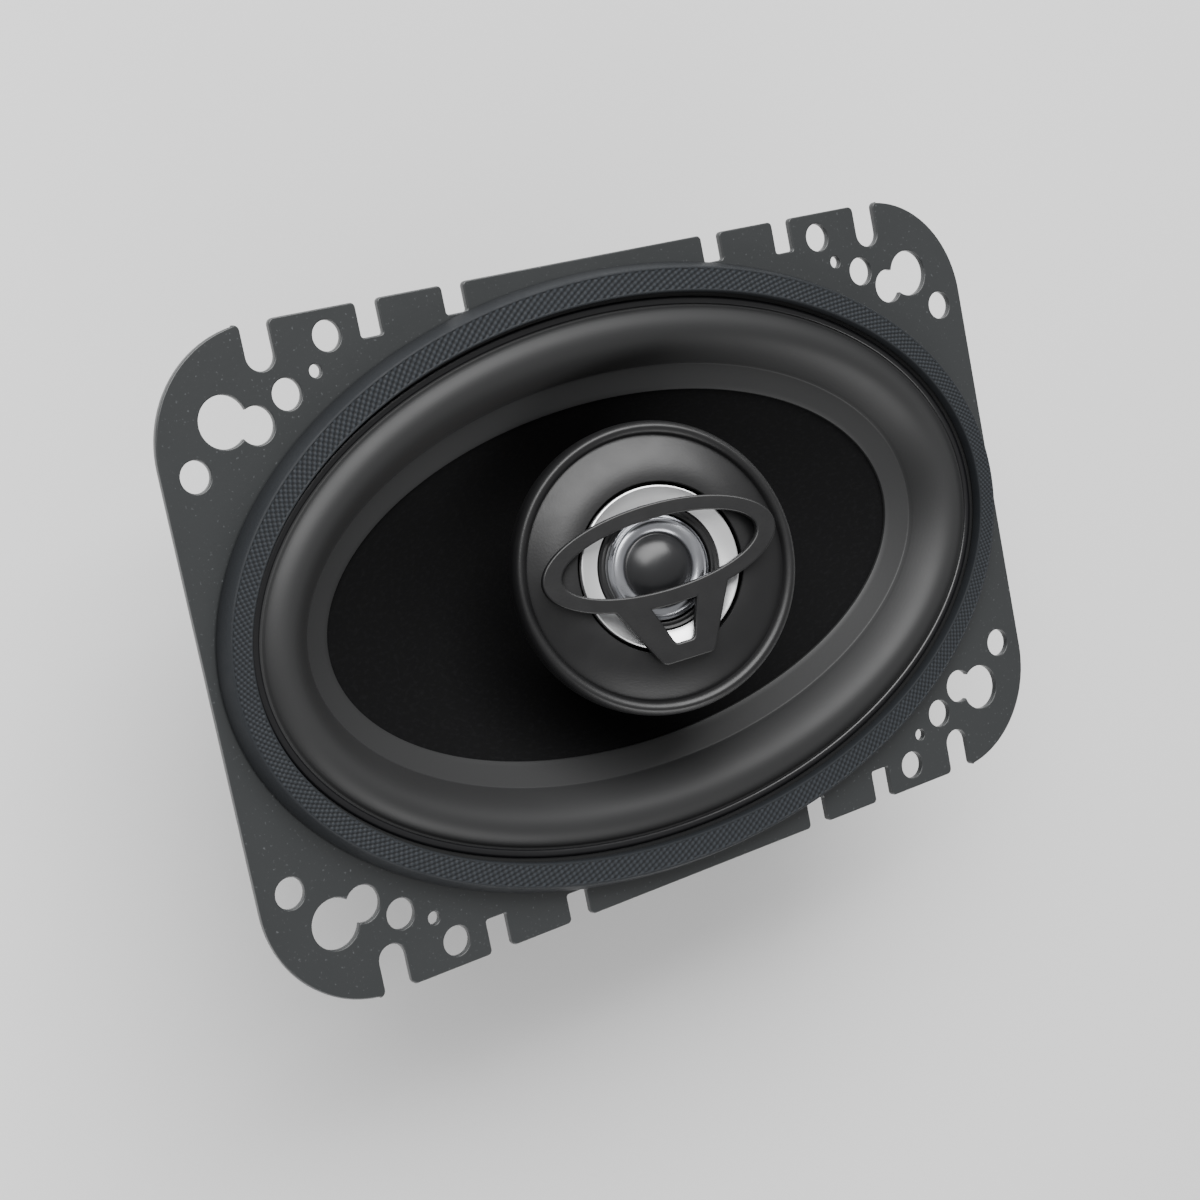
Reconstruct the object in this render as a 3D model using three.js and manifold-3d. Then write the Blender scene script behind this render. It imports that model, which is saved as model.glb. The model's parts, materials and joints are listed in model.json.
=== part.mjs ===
// A 4 x 6 inch coaxial car speaker: an oval woofer in a pressed steel basket, and a tweeter pod that
// swivels on a ball at the top of a post through the middle of the motor.
// Millimetres. +Z is out of the front, +X runs along the long side, and z = 0 is the back of the motor,
// which the speaker lies on.
import * as THREE from "three";
import { mergeVertices } from "three/addons/utils/BufferGeometryUtils.js";
import Module from "manifold-3d";

const wasm = await Module();
wasm.setup();

// ---------------------------------------------------------------- driving dimensions
const gap = 0.3; // clearance between pieces that touch
const roundSteps = 28; // facets round a small turned piece
const ovalSteps = 48; // facets round the oval pieces

// mounting flange
const flangeHalfLength = 81.7;
const flangeHalfWidth = 53.5;
const flangeCorner = 19;
const sheetThickness = 1.2;
const screwHoles = [
  { x: 76.2, y: 32.58, r: 2.5 },
  { x: 58.7, y: 41.75, r: 2.5 },
  { x: 50.0, y: 49.25, r: 2.45 },
  { x: 53.17, y: 44.32, r: 1.05 },
];
const keyhole = { x: 69.9, y: 39.65, r: 4.1, slotX: 64.7, slotY: 38.1, slotR: 3.0 };
const roundNotch = { x: 61.7, r: 2.45, depth: 7.65 };
const squareNotches = [
  { x: 42.18, halfWidth: 1.98, depth: 5.75 },
  { x: 26.32, halfWidth: 2.02, depth: 4.8 },
];

// gasket, surround and cone: semi-axes of the ovals
const gasket = {
  outerLength: 78.9,
  outerWidth: 50.1,
  innerLength: 75.3,
  innerWidth: 45.9,
  height: 3.3,
  flare: 1.2,
  softEdge: 0.3,
};
const openingLength = 74.3; // oval hole in the flange
const openingWidth = 45.1;
const roll = { outerLength: 72.9, outerWidth: 43.6, width: 9.6, rise: 3.6, skin: 0.6 };
const lipWidth = 4.4; // surround's inner lip, glued on the cone
const seatWidth = 4.3; // surround's outer lip, clamped under the gasket
const coneDrop = 5.0; // inner edge of the lip, below the flange face
const lipRise = 1.6;
const coneSheet = 0.7;
const neckDrop = 1.2; // cone neck below the former's end
const neckFlare = 1.2; // rise of the first millimetre beside the voice coil

// motor
const coilRadius = 12.85; // inside of the voice coil former
const formerWall = 0.3;
const formerLength = 15;
const windingWall = 0.6;
const windingLength = 8;
const airGap = 0.65; // each side of the moving coil
const magnetRadius = 31;
const magnetBore = 17;
const magnetThickness = 10;
const topPlateRadius = 28;
const topPlateThickness = 4;
const yokeRadius = 28;
const yokeThickness = 5;
const poleBore = 4.6;
const poleRise = 1; // pole above the top plate
const leadSlot = { width: 3.6, depth: 1.8 };

// basket behind the flange
const floorRadius = 26;
const shelfRadius = 33.6;
const shelfRise = 3.2; // spider shelf above the floor
const bowlHeight = 28.1; // flange face above the underside of the floor
const shoulder = { drop: 8, inset: 5 }; // bend of the bowl's wall, from the flange face and the opening
const windowCount = 12;
const windowWidth = 13;
const windowRise = 2.5; // above the spider shelf
const windowDrop = 9; // below the flange face
const spiderSheet = 0.5;
const spiderWave = 0.9;
const spiderCollar = 2; // flat glued to the voice coil
const spiderSeat = 4; // flat glued to the shelf
const spiderWaves = 3;
const rivetRadius = 1.6;
const rivetRing = 21;
const rivetHead = { overhang: 1.3, height: 1 };

// tweeter pod: radii round its own axis, heights from the middle of the ball
const pivotDrop = 2.5; // ball centre below the flange face
const podTiltAlong = 17.3; // rest pose, degrees towards -X
const podTiltAcross = 6.5; // rest pose, degrees towards +Y
const podRoll = 3;
const ballRadius = 5.2;
const linerWall = 0.9;
const socketWall = 1.4;
const podRadius = 24.6;
const podRimHeight = 11.8;
const podHole = 14.35;
const podFaceHeight = 13.3;
const flareOuter = 13.6;
const flareInner = 10.6;
const flareHeight = 13.2;
const flareDrop = 1.3; // inner edge below the outer one
const flareSkin = { outer: 1.6, inner: 1.1 };
const frameShelf = 2.8; // ledge under the flare, below its outer edge
const frameInset = 0.6; // skirt inside the flare's rim
const frameLip = 0.9; // clear of the foil ring
const domeRadius = 5.4;
const domeRise = 2.0;
const annulusRadius = 8.2;
const tweeterBase = 7.2; // where the tweeter motor stands in the pod
const socketBack = 125; // degrees round the ball that the socket reaches
const socketFront = 42;
const postRadius = 4;
const neckOfBall = 2.6;
const stemRadius = 3.6;
const collar = { radius: 9, height: 1.5, slope: 1 };
const waist = 3.5; // taper of the post above its collar
const neckTaper = { length: 3, slope: 2 }; // narrowing of the post below the ball
const wireBore = 1.7;
const wireRadius = 0.6;
const wireSpread = 0.75;
const nutRecess = { radius: 8, depth: 3.4 };
const tweeterPot = { radius: 9, wall: 1.4, height: 3.2 };
const tweeterCoil = 5.9;
const tweeterCoilWall = 0.4;
const tweeterMagnetHeight = 1.2;
const foilRise = 0.7;
const foilSheet = 0.35;
const capacitor = { radius: 3.2, length: 13, y: -41.4, drop: 7.8 }; // drop below the board's middle
const tinselRadius = 0.5;
const guard = {
  halfLength: 20.4,
  halfWidth: 8.4,
  band: 2.5,
  endBand: 3.4,
  offset: 2.2,
  thickness: 1.4,
  top: 15.1,
  legTop: { outer: 10, inner: 4, y: -5 },
  legFoot: { outer: 4.5, inner: 1.6, y: -15.7, thickness: 3 },
  pad: { sizeX: 2.2, sizeY: 3.2, sizeZ: 0.7, inset: 1.7 },
};

// terminals
const boardLength = 30;
const boardHeight = 13;
const boardThickness = 2;
const tabLength = 14;
const tabThickness = 0.8;
const tabWidths = { positive: 6.3, negative: 4.8 };
const tabRise = 3; // upper end of a blade above the board's middle
const tabSpread = 4.8; // blades each side of the middle
const bracketRise = 4; // board's upper edge below the flange
const crossHead = { overhang: 0.9, height: 0.9 };
const stubHead = { overhang: 0.7, height: 0.8 };

// ---------------------------------------------------------------- derived stack, from the back up
const magnetBottom = yokeThickness + gap;
const magnetTop = magnetBottom + magnetThickness;
const topPlateBottom = magnetTop + gap;
const topPlateTop = topPlateBottom + topPlateThickness;
const floorBottom = topPlateTop + gap;
const floorTop = floorBottom + sheetThickness;
const shelfTop = floorTop + shelfRise;
const faceZ = floorBottom + bowlHeight;
const flangeBack = faceZ - sheetThickness;
const formerOuter = coilRadius + formerWall;
const windingInner = formerOuter + gap;
const windingOuter = windingInner + windingWall;
const coilMiddle = topPlateBottom + topPlateThickness / 2;
const poleRadius = coilRadius - airGap;
const plateBore = windingOuter + airGap;
const coneEdgeZ = faceZ - coneDrop;
const formerBottom = coilMiddle - windingLength / 2 - 0.4;
const coneNeckZ = formerBottom + formerLength - neckDrop;
const neckRadius = formerOuter + gap;
const pivotZ = faceZ - pivotDrop;
const poleTop = topPlateTop + poleRise;

const finish = {
  steel: { color: 0x2b2d30, roughness: 0.45, metalness: 0.6 },
  rubber: { color: 0x3a3b3d, roughness: 0.6, metalness: 0 },
  gasket: { color: 0x3d4348, roughness: 0.75, metalness: 0 },
  cone: { color: 0x141416, roughness: 0.9, metalness: 0 },
  cloth: { color: 0xb98a4a, roughness: 0.9, metalness: 0 },
  copper: { color: 0xb5653a, roughness: 0.35, metalness: 1 },
  former: { color: 0xc9b27a, roughness: 0.5, metalness: 0 },
  zinc: { color: 0xb9bcc0, roughness: 0.35, metalness: 1 },
  ferrite: { color: 0x2a2a2c, roughness: 0.7, metalness: 0.1 },
  plastic: { color: 0x1c1c1e, roughness: 0.5, metalness: 0 },
  silver: { color: 0xd8dadd, roughness: 0.18, metalness: 1 },
  foil: { color: 0xa9acb0, roughness: 0.25, metalness: 1 },
  dome: { color: 0x1f2023, roughness: 0.35, metalness: 0 },
  board: { color: 0x6b4a2a, roughness: 0.7, metalness: 0 },
  wire: { color: 0x9a2f26, roughness: 0.6, metalness: 0 },
};

// ---------------------------------------------------------------- helpers
function toSolid(geometry) {
  const g = geometry.clone();
  g.deleteAttribute("normal");
  g.deleteAttribute("uv");
  const merged = mergeVertices(g, 1e-4);
  return new wasm.Manifold(
    new wasm.Mesh({
      numProp: 3,
      vertProperties: new Float32Array(merged.attributes.position.array),
      triVerts: new Uint32Array(merged.index.array),
    }),
  );
}

function toGeometry(solid) {
  const m = solid.getMesh();
  const g = new THREE.BufferGeometry();
  g.setAttribute("position", new THREE.BufferAttribute(m.vertProperties, 3));
  g.setIndex(new THREE.BufferAttribute(m.triVerts, 1));
  return g;
}

function join(...geometries) {
  return toGeometry(geometries.map(toSolid).reduce((a, b) => a.add(b)));
}

function cut(geometry, ...tools) {
  return toGeometry(tools.map(toSolid).reduce((a, b) => a.subtract(b), toSolid(geometry)));
}

// A closed section carried round the Z axis. Each point is [length semi-axis, width semi-axis, z].
function oval(section, steps = ovalSteps) {
  const ring = [...section, section[0]];
  const g = new THREE.LatheGeometry(
    ring.map(([a, , z]) => new THREE.Vector2(a, z)),
    steps,
  );
  const p = g.attributes.position;
  const rows = ring.length;
  for (let i = 0; i < p.count; i++) {
    const [a, b, z] = ring[i % rows];
    const angle = (Math.floor(i / rows) / steps) * 2 * Math.PI;
    p.setXYZ(i, a * Math.cos(angle), b * Math.sin(angle), z);
  }
  return outward(g);
}

// A turned piece: [radius, z] points, closed on themselves, or starting and ending on the axis.
function turned(section, steps = roundSteps) {
  const onAxis = section[0][0] === 0 && section.at(-1)[0] === 0;
  const points = onAxis ? section : [...section, section[0]];
  const g = new THREE.LatheGeometry(
    points.map(([r, z]) => new THREE.Vector2(r, z)),
    steps,
  );
  g.rotateX(Math.PI / 2);
  return outward(g);
}

// Turns the faces of a closed surface round when they point inwards.
function outward(geometry) {
  geometry.deleteAttribute("normal");
  geometry.deleteAttribute("uv");
  const merged = mergeVertices(geometry, 1e-4);
  const p = merged.attributes.position;
  const a = new THREE.Vector3();
  const b = new THREE.Vector3();
  const c = new THREE.Vector3();
  const index = Array.from(merged.index.array);
  const kept = [];
  let volume = 0;
  for (let i = 0; i < index.length; i += 3) {
    const [u, v, w] = index.slice(i, i + 3);
    if (u === v || v === w || u === w) continue;
    kept.push(u, v, w);
    a.fromBufferAttribute(p, u);
    b.fromBufferAttribute(p, v);
    c.fromBufferAttribute(p, w);
    volume += a.dot(b.cross(c));
  }
  if (volume < 0) {
    for (let i = 0; i < kept.length; i += 3) {
      [kept[i + 1], kept[i + 2]] = [kept[i + 2], kept[i + 1]];
    }
  }
  merged.setIndex(kept);
  return merged;
}

function rod(radius, bottom, top, x = 0, y = 0, steps = 12) {
  const g = new THREE.CylinderGeometry(radius, radius, top - bottom, steps);
  g.rotateX(Math.PI / 2);
  g.translate(x, y, (bottom + top) / 2);
  return g;
}

function box(sizeX, sizeY, sizeZ, x, y, z) {
  const g = new THREE.BoxGeometry(sizeX, sizeY, sizeZ);
  g.translate(x, y, z);
  return g;
}

// A tube round a smooth curve through the points.
function wire(points, radius, steps, sides = 8) {
  const section = new THREE.Shape();
  for (let i = 0; i < sides; i++) {
    const t = (i / sides) * 2 * Math.PI;
    section[i ? "lineTo" : "moveTo"](radius * Math.cos(t), radius * Math.sin(t));
  }
  const path = new THREE.CatmullRomCurve3(points.map((q) => new THREE.Vector3(...q)));
  return new THREE.ExtrudeGeometry(section, { steps, extrudePath: path, bevelEnabled: false });
}

function material(name) {
  return new THREE.MeshStandardMaterial(finish[name]);
}

function piece(name, geometry, finishName) {
  const mesh = new THREE.Mesh(geometry, material(finishName));
  mesh.name = name;
  return mesh;
}

const speaker = new THREE.Group();
const woofer = new THREE.Group();
const motor = new THREE.Group();
speaker.add(woofer, motor);

// ---------------------------------------------------------------- flange and basket
const quadrants = [
  [1, 1],
  [-1, 1],
  [-1, -1],
  [1, -1],
];

function flangeOutline() {
  const s = new THREE.Shape();
  const cx = flangeHalfLength - flangeCorner;
  const cy = flangeHalfWidth - flangeCorner;
  s.absarc(cx, cy, flangeCorner, 0, Math.PI / 2);
  s.absarc(-cx, cy, flangeCorner, Math.PI / 2, Math.PI);
  s.absarc(-cx, -cy, flangeCorner, Math.PI, 1.5 * Math.PI);
  s.absarc(cx, -cy, flangeCorner, 1.5 * Math.PI, 2 * Math.PI);
  return s;
}

function flangeCuts() {
  const cuts = [];
  const low = flangeBack - 1;
  const high = faceZ + 1;
  for (const [sx, sy] of quadrants) {
    for (const h of screwHoles) cuts.push(rod(h.r, low, high, sx * h.x, sy * h.y));
    cuts.push(rod(keyhole.r, low, high, sx * keyhole.x, sy * keyhole.y, 16));
    cuts.push(rod(keyhole.slotR, low, high, sx * keyhole.slotX, sy * keyhole.slotY, 16));
    const notchY = flangeHalfWidth - roundNotch.depth + roundNotch.r;
    cuts.push(rod(roundNotch.r, low, high, sx * roundNotch.x, sy * notchY));
    const notchTop = flangeHalfWidth + 2;
    const notchHeight = notchTop - notchY;
    const notchMiddle = (notchTop + notchY) / 2;
    cuts.push(box(2 * roundNotch.r, notchHeight, high - low, sx * roundNotch.x, sy * notchMiddle, faceZ));
    for (const n of squareNotches) {
      const middle = flangeHalfWidth - n.depth / 2 + 1;
      cuts.push(box(2 * n.halfWidth, n.depth + 2, high - low, sx * n.x, sy * middle, faceZ));
    }
  }
  return cuts;
}

// The pressed bowl: from the oval opening down to the round spider shelf and the floor.
function bowl() {
  const t = sheetThickness;
  const shelf = shelfRadius;
  const step = floorRadius;
  const hole = plateBore + 0.6;
  const shoulderZ = faceZ - shoulder.drop;
  const a = openingLength;
  const b = openingWidth;
  const section = [
    [a, b, faceZ - 0.05],
    [a, b, flangeBack],
    [a - shoulder.inset, b - shoulder.inset, shoulderZ],
    [shelf, shelf, shelfTop],
    [step + 0.6, step + 0.6, shelfTop],
    [step, step, floorTop],
    [hole, hole, floorTop],
    [hole, hole, floorBottom],
    [step + t, step + t, floorBottom],
    [step + t + 0.4, step + t + 0.4, shelfTop - t],
    [shelf + t * 0.6, shelf + t * 0.6, shelfTop - t],
    [a - shoulder.inset + t, b - shoulder.inset + t, shoulderZ - t * 0.4],
    [a + t, b + t, flangeBack],
    [a + t, b + t, faceZ - 0.05],
  ];
  return oval(section);
}

function basket() {
  const plate = new THREE.ExtrudeGeometry(flangeOutline(), {
    depth: sheetThickness,
    bevelEnabled: false,
    curveSegments: 8,
  });
  plate.translate(0, 0, flangeBack);
  const opening = new THREE.CylinderGeometry(1, 1, 2 * sheetThickness, ovalSteps);
  opening.rotateX(Math.PI / 2);
  opening.rotateZ(Math.PI / 2);
  opening.scale(openingLength + 0.3, openingWidth + 0.3, 1);
  opening.translate(0, 0, faceZ - sheetThickness / 2);
  const windows = [];
  const windowLow = shelfTop + windowRise;
  const windowHigh = faceZ - windowDrop;
  const windowReach = flangeHalfLength;
  const windowStart = shelfRadius - 4;
  for (let i = 0; i < windowCount; i++) {
    const g = box(
      windowReach - windowStart,
      windowWidth,
      windowHigh - windowLow,
      (windowReach + windowStart) / 2,
      0,
      (windowLow + windowHigh) / 2,
    );
    g.rotateZ(((i + 0.5) / windowCount) * 2 * Math.PI);
    windows.push(g);
  }
  const rivetHoles = rivetHolesIn(floorBottom, floorTop);
  const boardHoles = boardRivetPlaces().map(([x, z]) => {
    const g = new THREE.CylinderGeometry(rivetRadius + gap, rivetRadius + gap, 12, 12);
    g.translate(x, boardY, z);
    return g;
  });
  const flange = cut(plate, opening, ...flangeCuts());
  const pot = cut(bowl(), ...windows, ...rivetHoles);
  return cut(join(flange, pot, boardBracket()), ...boardHoles);
}

function rivetPlaces() {
  return [45, 135, 225, 315].map((deg) => {
    const t = THREE.MathUtils.degToRad(deg);
    return [rivetRing * Math.cos(t), rivetRing * Math.sin(t)];
  });
}

// ---------------------------------------------------------------- terminal board, behind the long edge
const boardY = -(openingWidth + sheetThickness);
const boardMiddleZ = flangeBack - bracketRise - boardHeight / 2;

function boardRivetPlaces() {
  return [-1, 1].map((s) => [s * (boardLength / 2 - 3), boardMiddleZ]);
}

// A tongue of the basket, bent down from the flange, that carries the board.
function boardBracket() {
  const height = boardHeight + bracketRise;
  return box(boardLength, sheetThickness, height + 0.1, 0, boardY, flangeBack - height / 2 + 0.05);
}

const boardFront = boardY - sheetThickness / 2 - gap;

function terminalBoard() {
  const middleY = boardFront - boardThickness / 2;
  const plate = box(boardLength, boardThickness, boardHeight, 0, middleY, boardMiddleZ);
  const holes = [];
  for (const [x, z] of boardRivetPlaces()) holes.push(crossRod(rivetRadius + gap, x, z));
  for (const s of [-1, 1]) holes.push(crossRod(rivetRadius + gap, s * tabSpread, boardMiddleZ));
  return cut(plate, ...holes);
}

// A hole or pin along Y through the board.
function crossRod(radius, x, z, from = boardFront - boardThickness - 2, to = boardFront + 2) {
  const g = new THREE.CylinderGeometry(radius, radius, to - from, 12);
  g.translate(x, (from + to) / 2, z);
  return g;
}

// A blade that lies on the board and is bent down past its lower edge.
function terminalTab(x, width) {
  const y = boardFront - boardThickness - gap - tabThickness / 2;
  const blade = box(width, tabThickness, tabLength, x, y, boardMiddleZ + tabRise - tabLength / 2);
  return cut(blade, crossRod(rivetRadius + gap, x, boardMiddleZ, y - 2, y + 2));
}

// A rivet along Y: a shank with a head at each end.
function crossRivet(x, z, front, back) {
  const head = rivetRadius + crossHead.overhang;
  return join(
    crossRod(rivetRadius, x, z, front - 0.5, back + 0.5),
    crossRod(head, x, z, front - gap - crossHead.height, front - gap),
    crossRod(head, x, z, back + gap, back + gap + crossHead.height),
  );
}

// ---------------------------------------------------------------- gasket, surround, cone
function gasketRing() {
  const g = gasket;
  const low = faceZ + gap;
  const high = faceZ + g.height;
  const seat = faceZ + gap + roll.skin + gap;
  const seatLength = roll.outerLength + seatWidth + gap;
  const seatWide = roll.outerWidth + seatWidth + gap;
  const soft = g.softEdge;
  return oval([
    [g.innerLength, g.innerWidth, seat],
    [g.innerLength, g.innerWidth, high - soft],
    [g.innerLength + soft, g.innerWidth + soft, high],
    [g.outerLength - soft, g.outerWidth - soft, high],
    [g.outerLength, g.outerWidth, high - soft],
    [g.outerLength + g.flare, g.outerWidth + g.flare, low],
    [seatLength, seatWide, low],
    [seatLength, seatWide, seat],
  ]);
}

// The surround's section runs from the inner lip over the half roll to the outer lip, and back under.
function surroundLine() {
  const outerZ = faceZ + gap + roll.skin;
  const inLength = roll.outerLength - roll.width;
  const inWidth = roll.outerWidth - roll.width;
  const innerZ = coneEdgeZ + lipRise;
  const line = [
    [inLength - lipWidth, inWidth - lipWidth, coneEdgeZ],
    [inLength, inWidth, innerZ],
  ];
  const steps = 6;
  for (let i = 1; i < steps; i++) {
    const t = i / steps;
    const bulge = roll.rise * Math.sin(Math.PI * t) ** 0.85;
    const z = innerZ + t * (outerZ - innerZ) + bulge;
    line.push([inLength + t * roll.width, inWidth + t * roll.width, z]);
  }
  line.push([roll.outerLength, roll.outerWidth, outerZ]);
  line.push([roll.outerLength + seatWidth, roll.outerWidth + seatWidth, outerZ]);
  return line;
}

function surround() {
  const top = surroundLine();
  const under = top.map(([a, b, z]) => [a, b, z - roll.skin]).reverse();
  return oval([...top, ...under]);
}

function cone() {
  const under = gap + roll.skin;
  const outLength = roll.outerLength - roll.width - 0.4;
  const outWidth = roll.outerWidth - roll.width - 0.4;
  const lip = lipWidth;
  const top = [
    [neckRadius, neckRadius, coneNeckZ],
    [neckRadius + 1, neckRadius + 1, coneNeckZ + neckFlare],
    [outLength - lip, outWidth - lip, coneEdgeZ - under],
    [outLength, outWidth, coneEdgeZ + lipRise - under - 0.1],
  ];
  const drop = [-1.2, -1.4, -coneSheet, -coneSheet];
  const back = top.map(([a, b, z], i) => [a, b, z + drop[i]]).reverse();
  return oval([...top, ...back]);
}

woofer.add(piece("basket", basket(), "steel"));
woofer.add(piece("gasket_ring", gasketRing(), "gasket"));
woofer.add(piece("surround", surround(), "rubber"));
woofer.add(piece("cone", cone(), "cone"));

// ---------------------------------------------------------------- voice coil and spider
function ringSection(inner, outer, bottom, top) {
  return [
    [inner, bottom],
    [outer, bottom],
    [outer, top],
    [inner, top],
  ];
}

function spider() {
  const inner = neckRadius;
  const outer = shelfRadius - 1.2;
  const base = shelfTop + gap;
  const waveStart = inner + spiderCollar;
  const waveEnd = outer - spiderSeat;
  const steps = spiderWaves * 4;
  const top = [[inner, base + spiderSheet]];
  for (let i = 0; i <= steps; i++) {
    const t = i / steps;
    const wave = spiderWave * Math.max(0, Math.sin(2 * Math.PI * spiderWaves * t));
    top.push([waveStart + t * (waveEnd - waveStart), base + spiderSheet + wave]);
  }
  top.push([outer, base + spiderSheet]);
  const under = top.map(([r, z]) => [r, z - spiderSheet]).reverse();
  return turned([...top, ...under]);
}

woofer.add(
  piece(
    "voice_coil_former",
    turned(ringSection(coilRadius, formerOuter, formerBottom, formerBottom + formerLength)),
    "former",
  ),
);
const windingBottom = coilMiddle - windingLength / 2;
woofer.add(
  piece(
    "voice_coil_winding",
    turned(ringSection(windingInner, windingOuter, windingBottom, windingBottom + windingLength)),
    "copper",
  ),
);
woofer.add(piece("spider", spider(), "cloth"));

// ---------------------------------------------------------------- motor
function rivetHolesIn(bottom, top) {
  return rivetPlaces().map(([x, y]) => rod(rivetRadius + gap, bottom - 1, top + 1, x, y));
}

function yoke() {
  const body = turned([
    [poleBore, 0],
    [yokeRadius - 0.8, 0],
    [yokeRadius, 0.8],
    [yokeRadius, yokeThickness],
    [poleRadius, yokeThickness],
    [poleRadius, poleTop],
    [poleBore, poleTop],
  ]);
  const recess = rod(nutRecess.radius, -1, nutRecess.depth, 0, 0, 32);
  const reach = yokeRadius + 2;
  const slot = box(leadSlot.width, reach, leadSlot.depth + 1, 0, -reach / 2, (leadSlot.depth - 1) / 2);
  return cut(body, slot, recess);
}

motor.add(piece("yoke", yoke(), "zinc"));
const magnetSection = ringSection(magnetBore, magnetRadius, magnetBottom, magnetTop);
motor.add(piece("magnet", turned(magnetSection), "ferrite"));
const topPlate = turned(ringSection(plateBore, topPlateRadius, topPlateBottom, topPlateTop));
const plateHoles = rivetHolesIn(topPlateBottom, topPlateTop);
motor.add(piece("top_plate", cut(topPlate, ...plateHoles), "zinc"));

rivetPlaces().forEach(([x, y], i) => {
  const seat = floorTop + gap;
  const shank = rod(rivetRadius, topPlateBottom, seat + rivetHead.height / 2, x, y);
  const head = rod(rivetRadius + rivetHead.overhang, seat, seat + rivetHead.height, x, y);
  const rivet = join(shank, head);
  motor.add(piece(`frame_rivet_${i + 1}`, rivet, "zinc"));
});

// ---------------------------------------------------------------- terminals
speaker.add(piece("terminal_board", terminalBoard(), "board"));
const boardBackY = boardY + sheetThickness / 2;
boardRivetPlaces().forEach(([x, z], i) => {
  const front = boardFront - boardThickness;
  speaker.add(piece(`board_rivet_${i + 1}`, crossRivet(x, z, front, boardBackY), "zinc"));
});
const tabPlaces = { positive: -tabSpread, negative: tabSpread };
for (const [pole, x] of Object.entries(tabPlaces)) {
  speaker.add(piece(`terminal_${pole}`, terminalTab(x, tabWidths[pole]), "zinc"));
  const front = boardFront - boardThickness - gap - tabThickness;
  const shank = boardFront - boardThickness / 2;
  const stub = join(
    crossRod(rivetRadius, x, boardMiddleZ, front - 0.5, shank),
    crossRod(
      rivetRadius + stubHead.overhang,
      x,
      boardMiddleZ,
      front - gap - stubHead.height,
      front - gap,
    ),
  );
  speaker.add(piece(`terminal_rivet_${pole}`, stub, "zinc"));
}

// ---------------------------------------------------------------- post, ball and nut
// Points on a circle round the ball's middle, from one polar angle to another, in degrees from +Z.
function arcPoints(radius, from, to, steps, middle = 0) {
  const points = [];
  for (let i = 0; i <= steps; i++) {
    const t = THREE.MathUtils.degToRad(from + (i / steps) * (to - from));
    points.push([radius * Math.sin(t), middle + radius * Math.cos(t)]);
  }
  return points;
}

function asPolar(radius, distance) {
  return THREE.MathUtils.radToDeg(Math.asin(radius / distance));
}

function tweeterPost() {
  const seat = poleTop + gap;
  const shelf = seat + collar.height;
  const neckTo = 180 - asPolar(neckOfBall, ballRadius);
  const neckZ = pivotZ + ballRadius * Math.cos(THREE.MathUtils.degToRad(neckTo));
  const ball = arcPoints(ballRadius, asPolar(wireBore, ballRadius), neckTo, 9, pivotZ);
  return turned([
    [wireBore, 0.8],
    [stemRadius, 0.8],
    [stemRadius, seat],
    [collar.radius, seat],
    [collar.radius, shelf],
    [postRadius + 1, shelf + collar.slope],
    [postRadius, shelf + collar.slope + waist],
    [postRadius, neckZ - neckTaper.length - neckTaper.slope],
    [neckOfBall, neckZ - neckTaper.length],
    ...ball.reverse(),
    [wireBore, pivotZ],
  ]);
}

function postNut() {
  const hex = rod(nutRecess.radius - 1.6, 0.6, nutRecess.depth - gap, 0, 0, 6);
  return cut(hex, rod(stemRadius + gap, -1, nutRecess.depth + 1), nutSlot());
}

// A notch in the nut's rim lets the two wires turn up into the post.
function nutSlot() {
  return box(leadSlot.width, 12, 3.6, 0, -6, 0.6);
}

function frameOfPost() {
  const stemSlot = box(leadSlot.width - 0.6, 6, 4.4, 0, -3, 2.2);
  return cut(tweeterPost(), stemSlot);
}

speaker.add(piece("tweeter_post", frameOfPost(), "plastic"));
speaker.add(piece("post_nut", postNut(), "zinc"));

// ---------------------------------------------------------------- tweeter pod, on its own tilted axes
const swivelAlong = new THREE.Group();
swivelAlong.position.z = pivotZ;
swivelAlong.rotation.y = -THREE.MathUtils.degToRad(podTiltAlong);
const swivelAcross = new THREE.Group();
swivelAcross.rotation.x = -THREE.MathUtils.degToRad(podTiltAcross);
const pod = new THREE.Group();
pod.rotation.z = THREE.MathUtils.degToRad(podRoll);
swivelAlong.add(swivelAcross);
swivelAcross.add(pod);
speaker.add(swivelAlong);

const linerInner = ballRadius + gap;
const linerOuter = linerInner + linerWall;
const socketInner = linerOuter + gap;
const socketOuter = socketInner + socketWall;

swivelAlong.add(
  piece(
    "ball_liner",
    turned([
      ...arcPoints(linerInner, socketBack - 4, socketFront + 4, 6),
      ...arcPoints(linerOuter, socketFront + 4, socketBack - 4, 6),
    ]),
    "former",
  ),
);

const podBackHeight = 4.2; // underside of the pod's wide part
const podFloor = tweeterBase - gap;

function tweeterCup() {
  const wall = 1.4;
  const inside = podRadius - 1.2 - wall;
  return turned([
    ...arcPoints(socketInner, socketBack, socketFront, 6),
    [socketInner * Math.sin(THREE.MathUtils.degToRad(socketFront)), podFloor],
    [inside - 1.5, podFloor],
    [inside, podFloor + 1],
    [inside, podRimHeight - 2.4],
    [podRadius - 1.2, podRimHeight - 2.4],
    [podRadius - 1.4, podFloor],
    [inside - 4, podBackHeight],
    [socketOuter + 1.2, 2.4],
    ...arcPoints(socketOuter, 95, socketBack, 4),
  ]);
}

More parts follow.
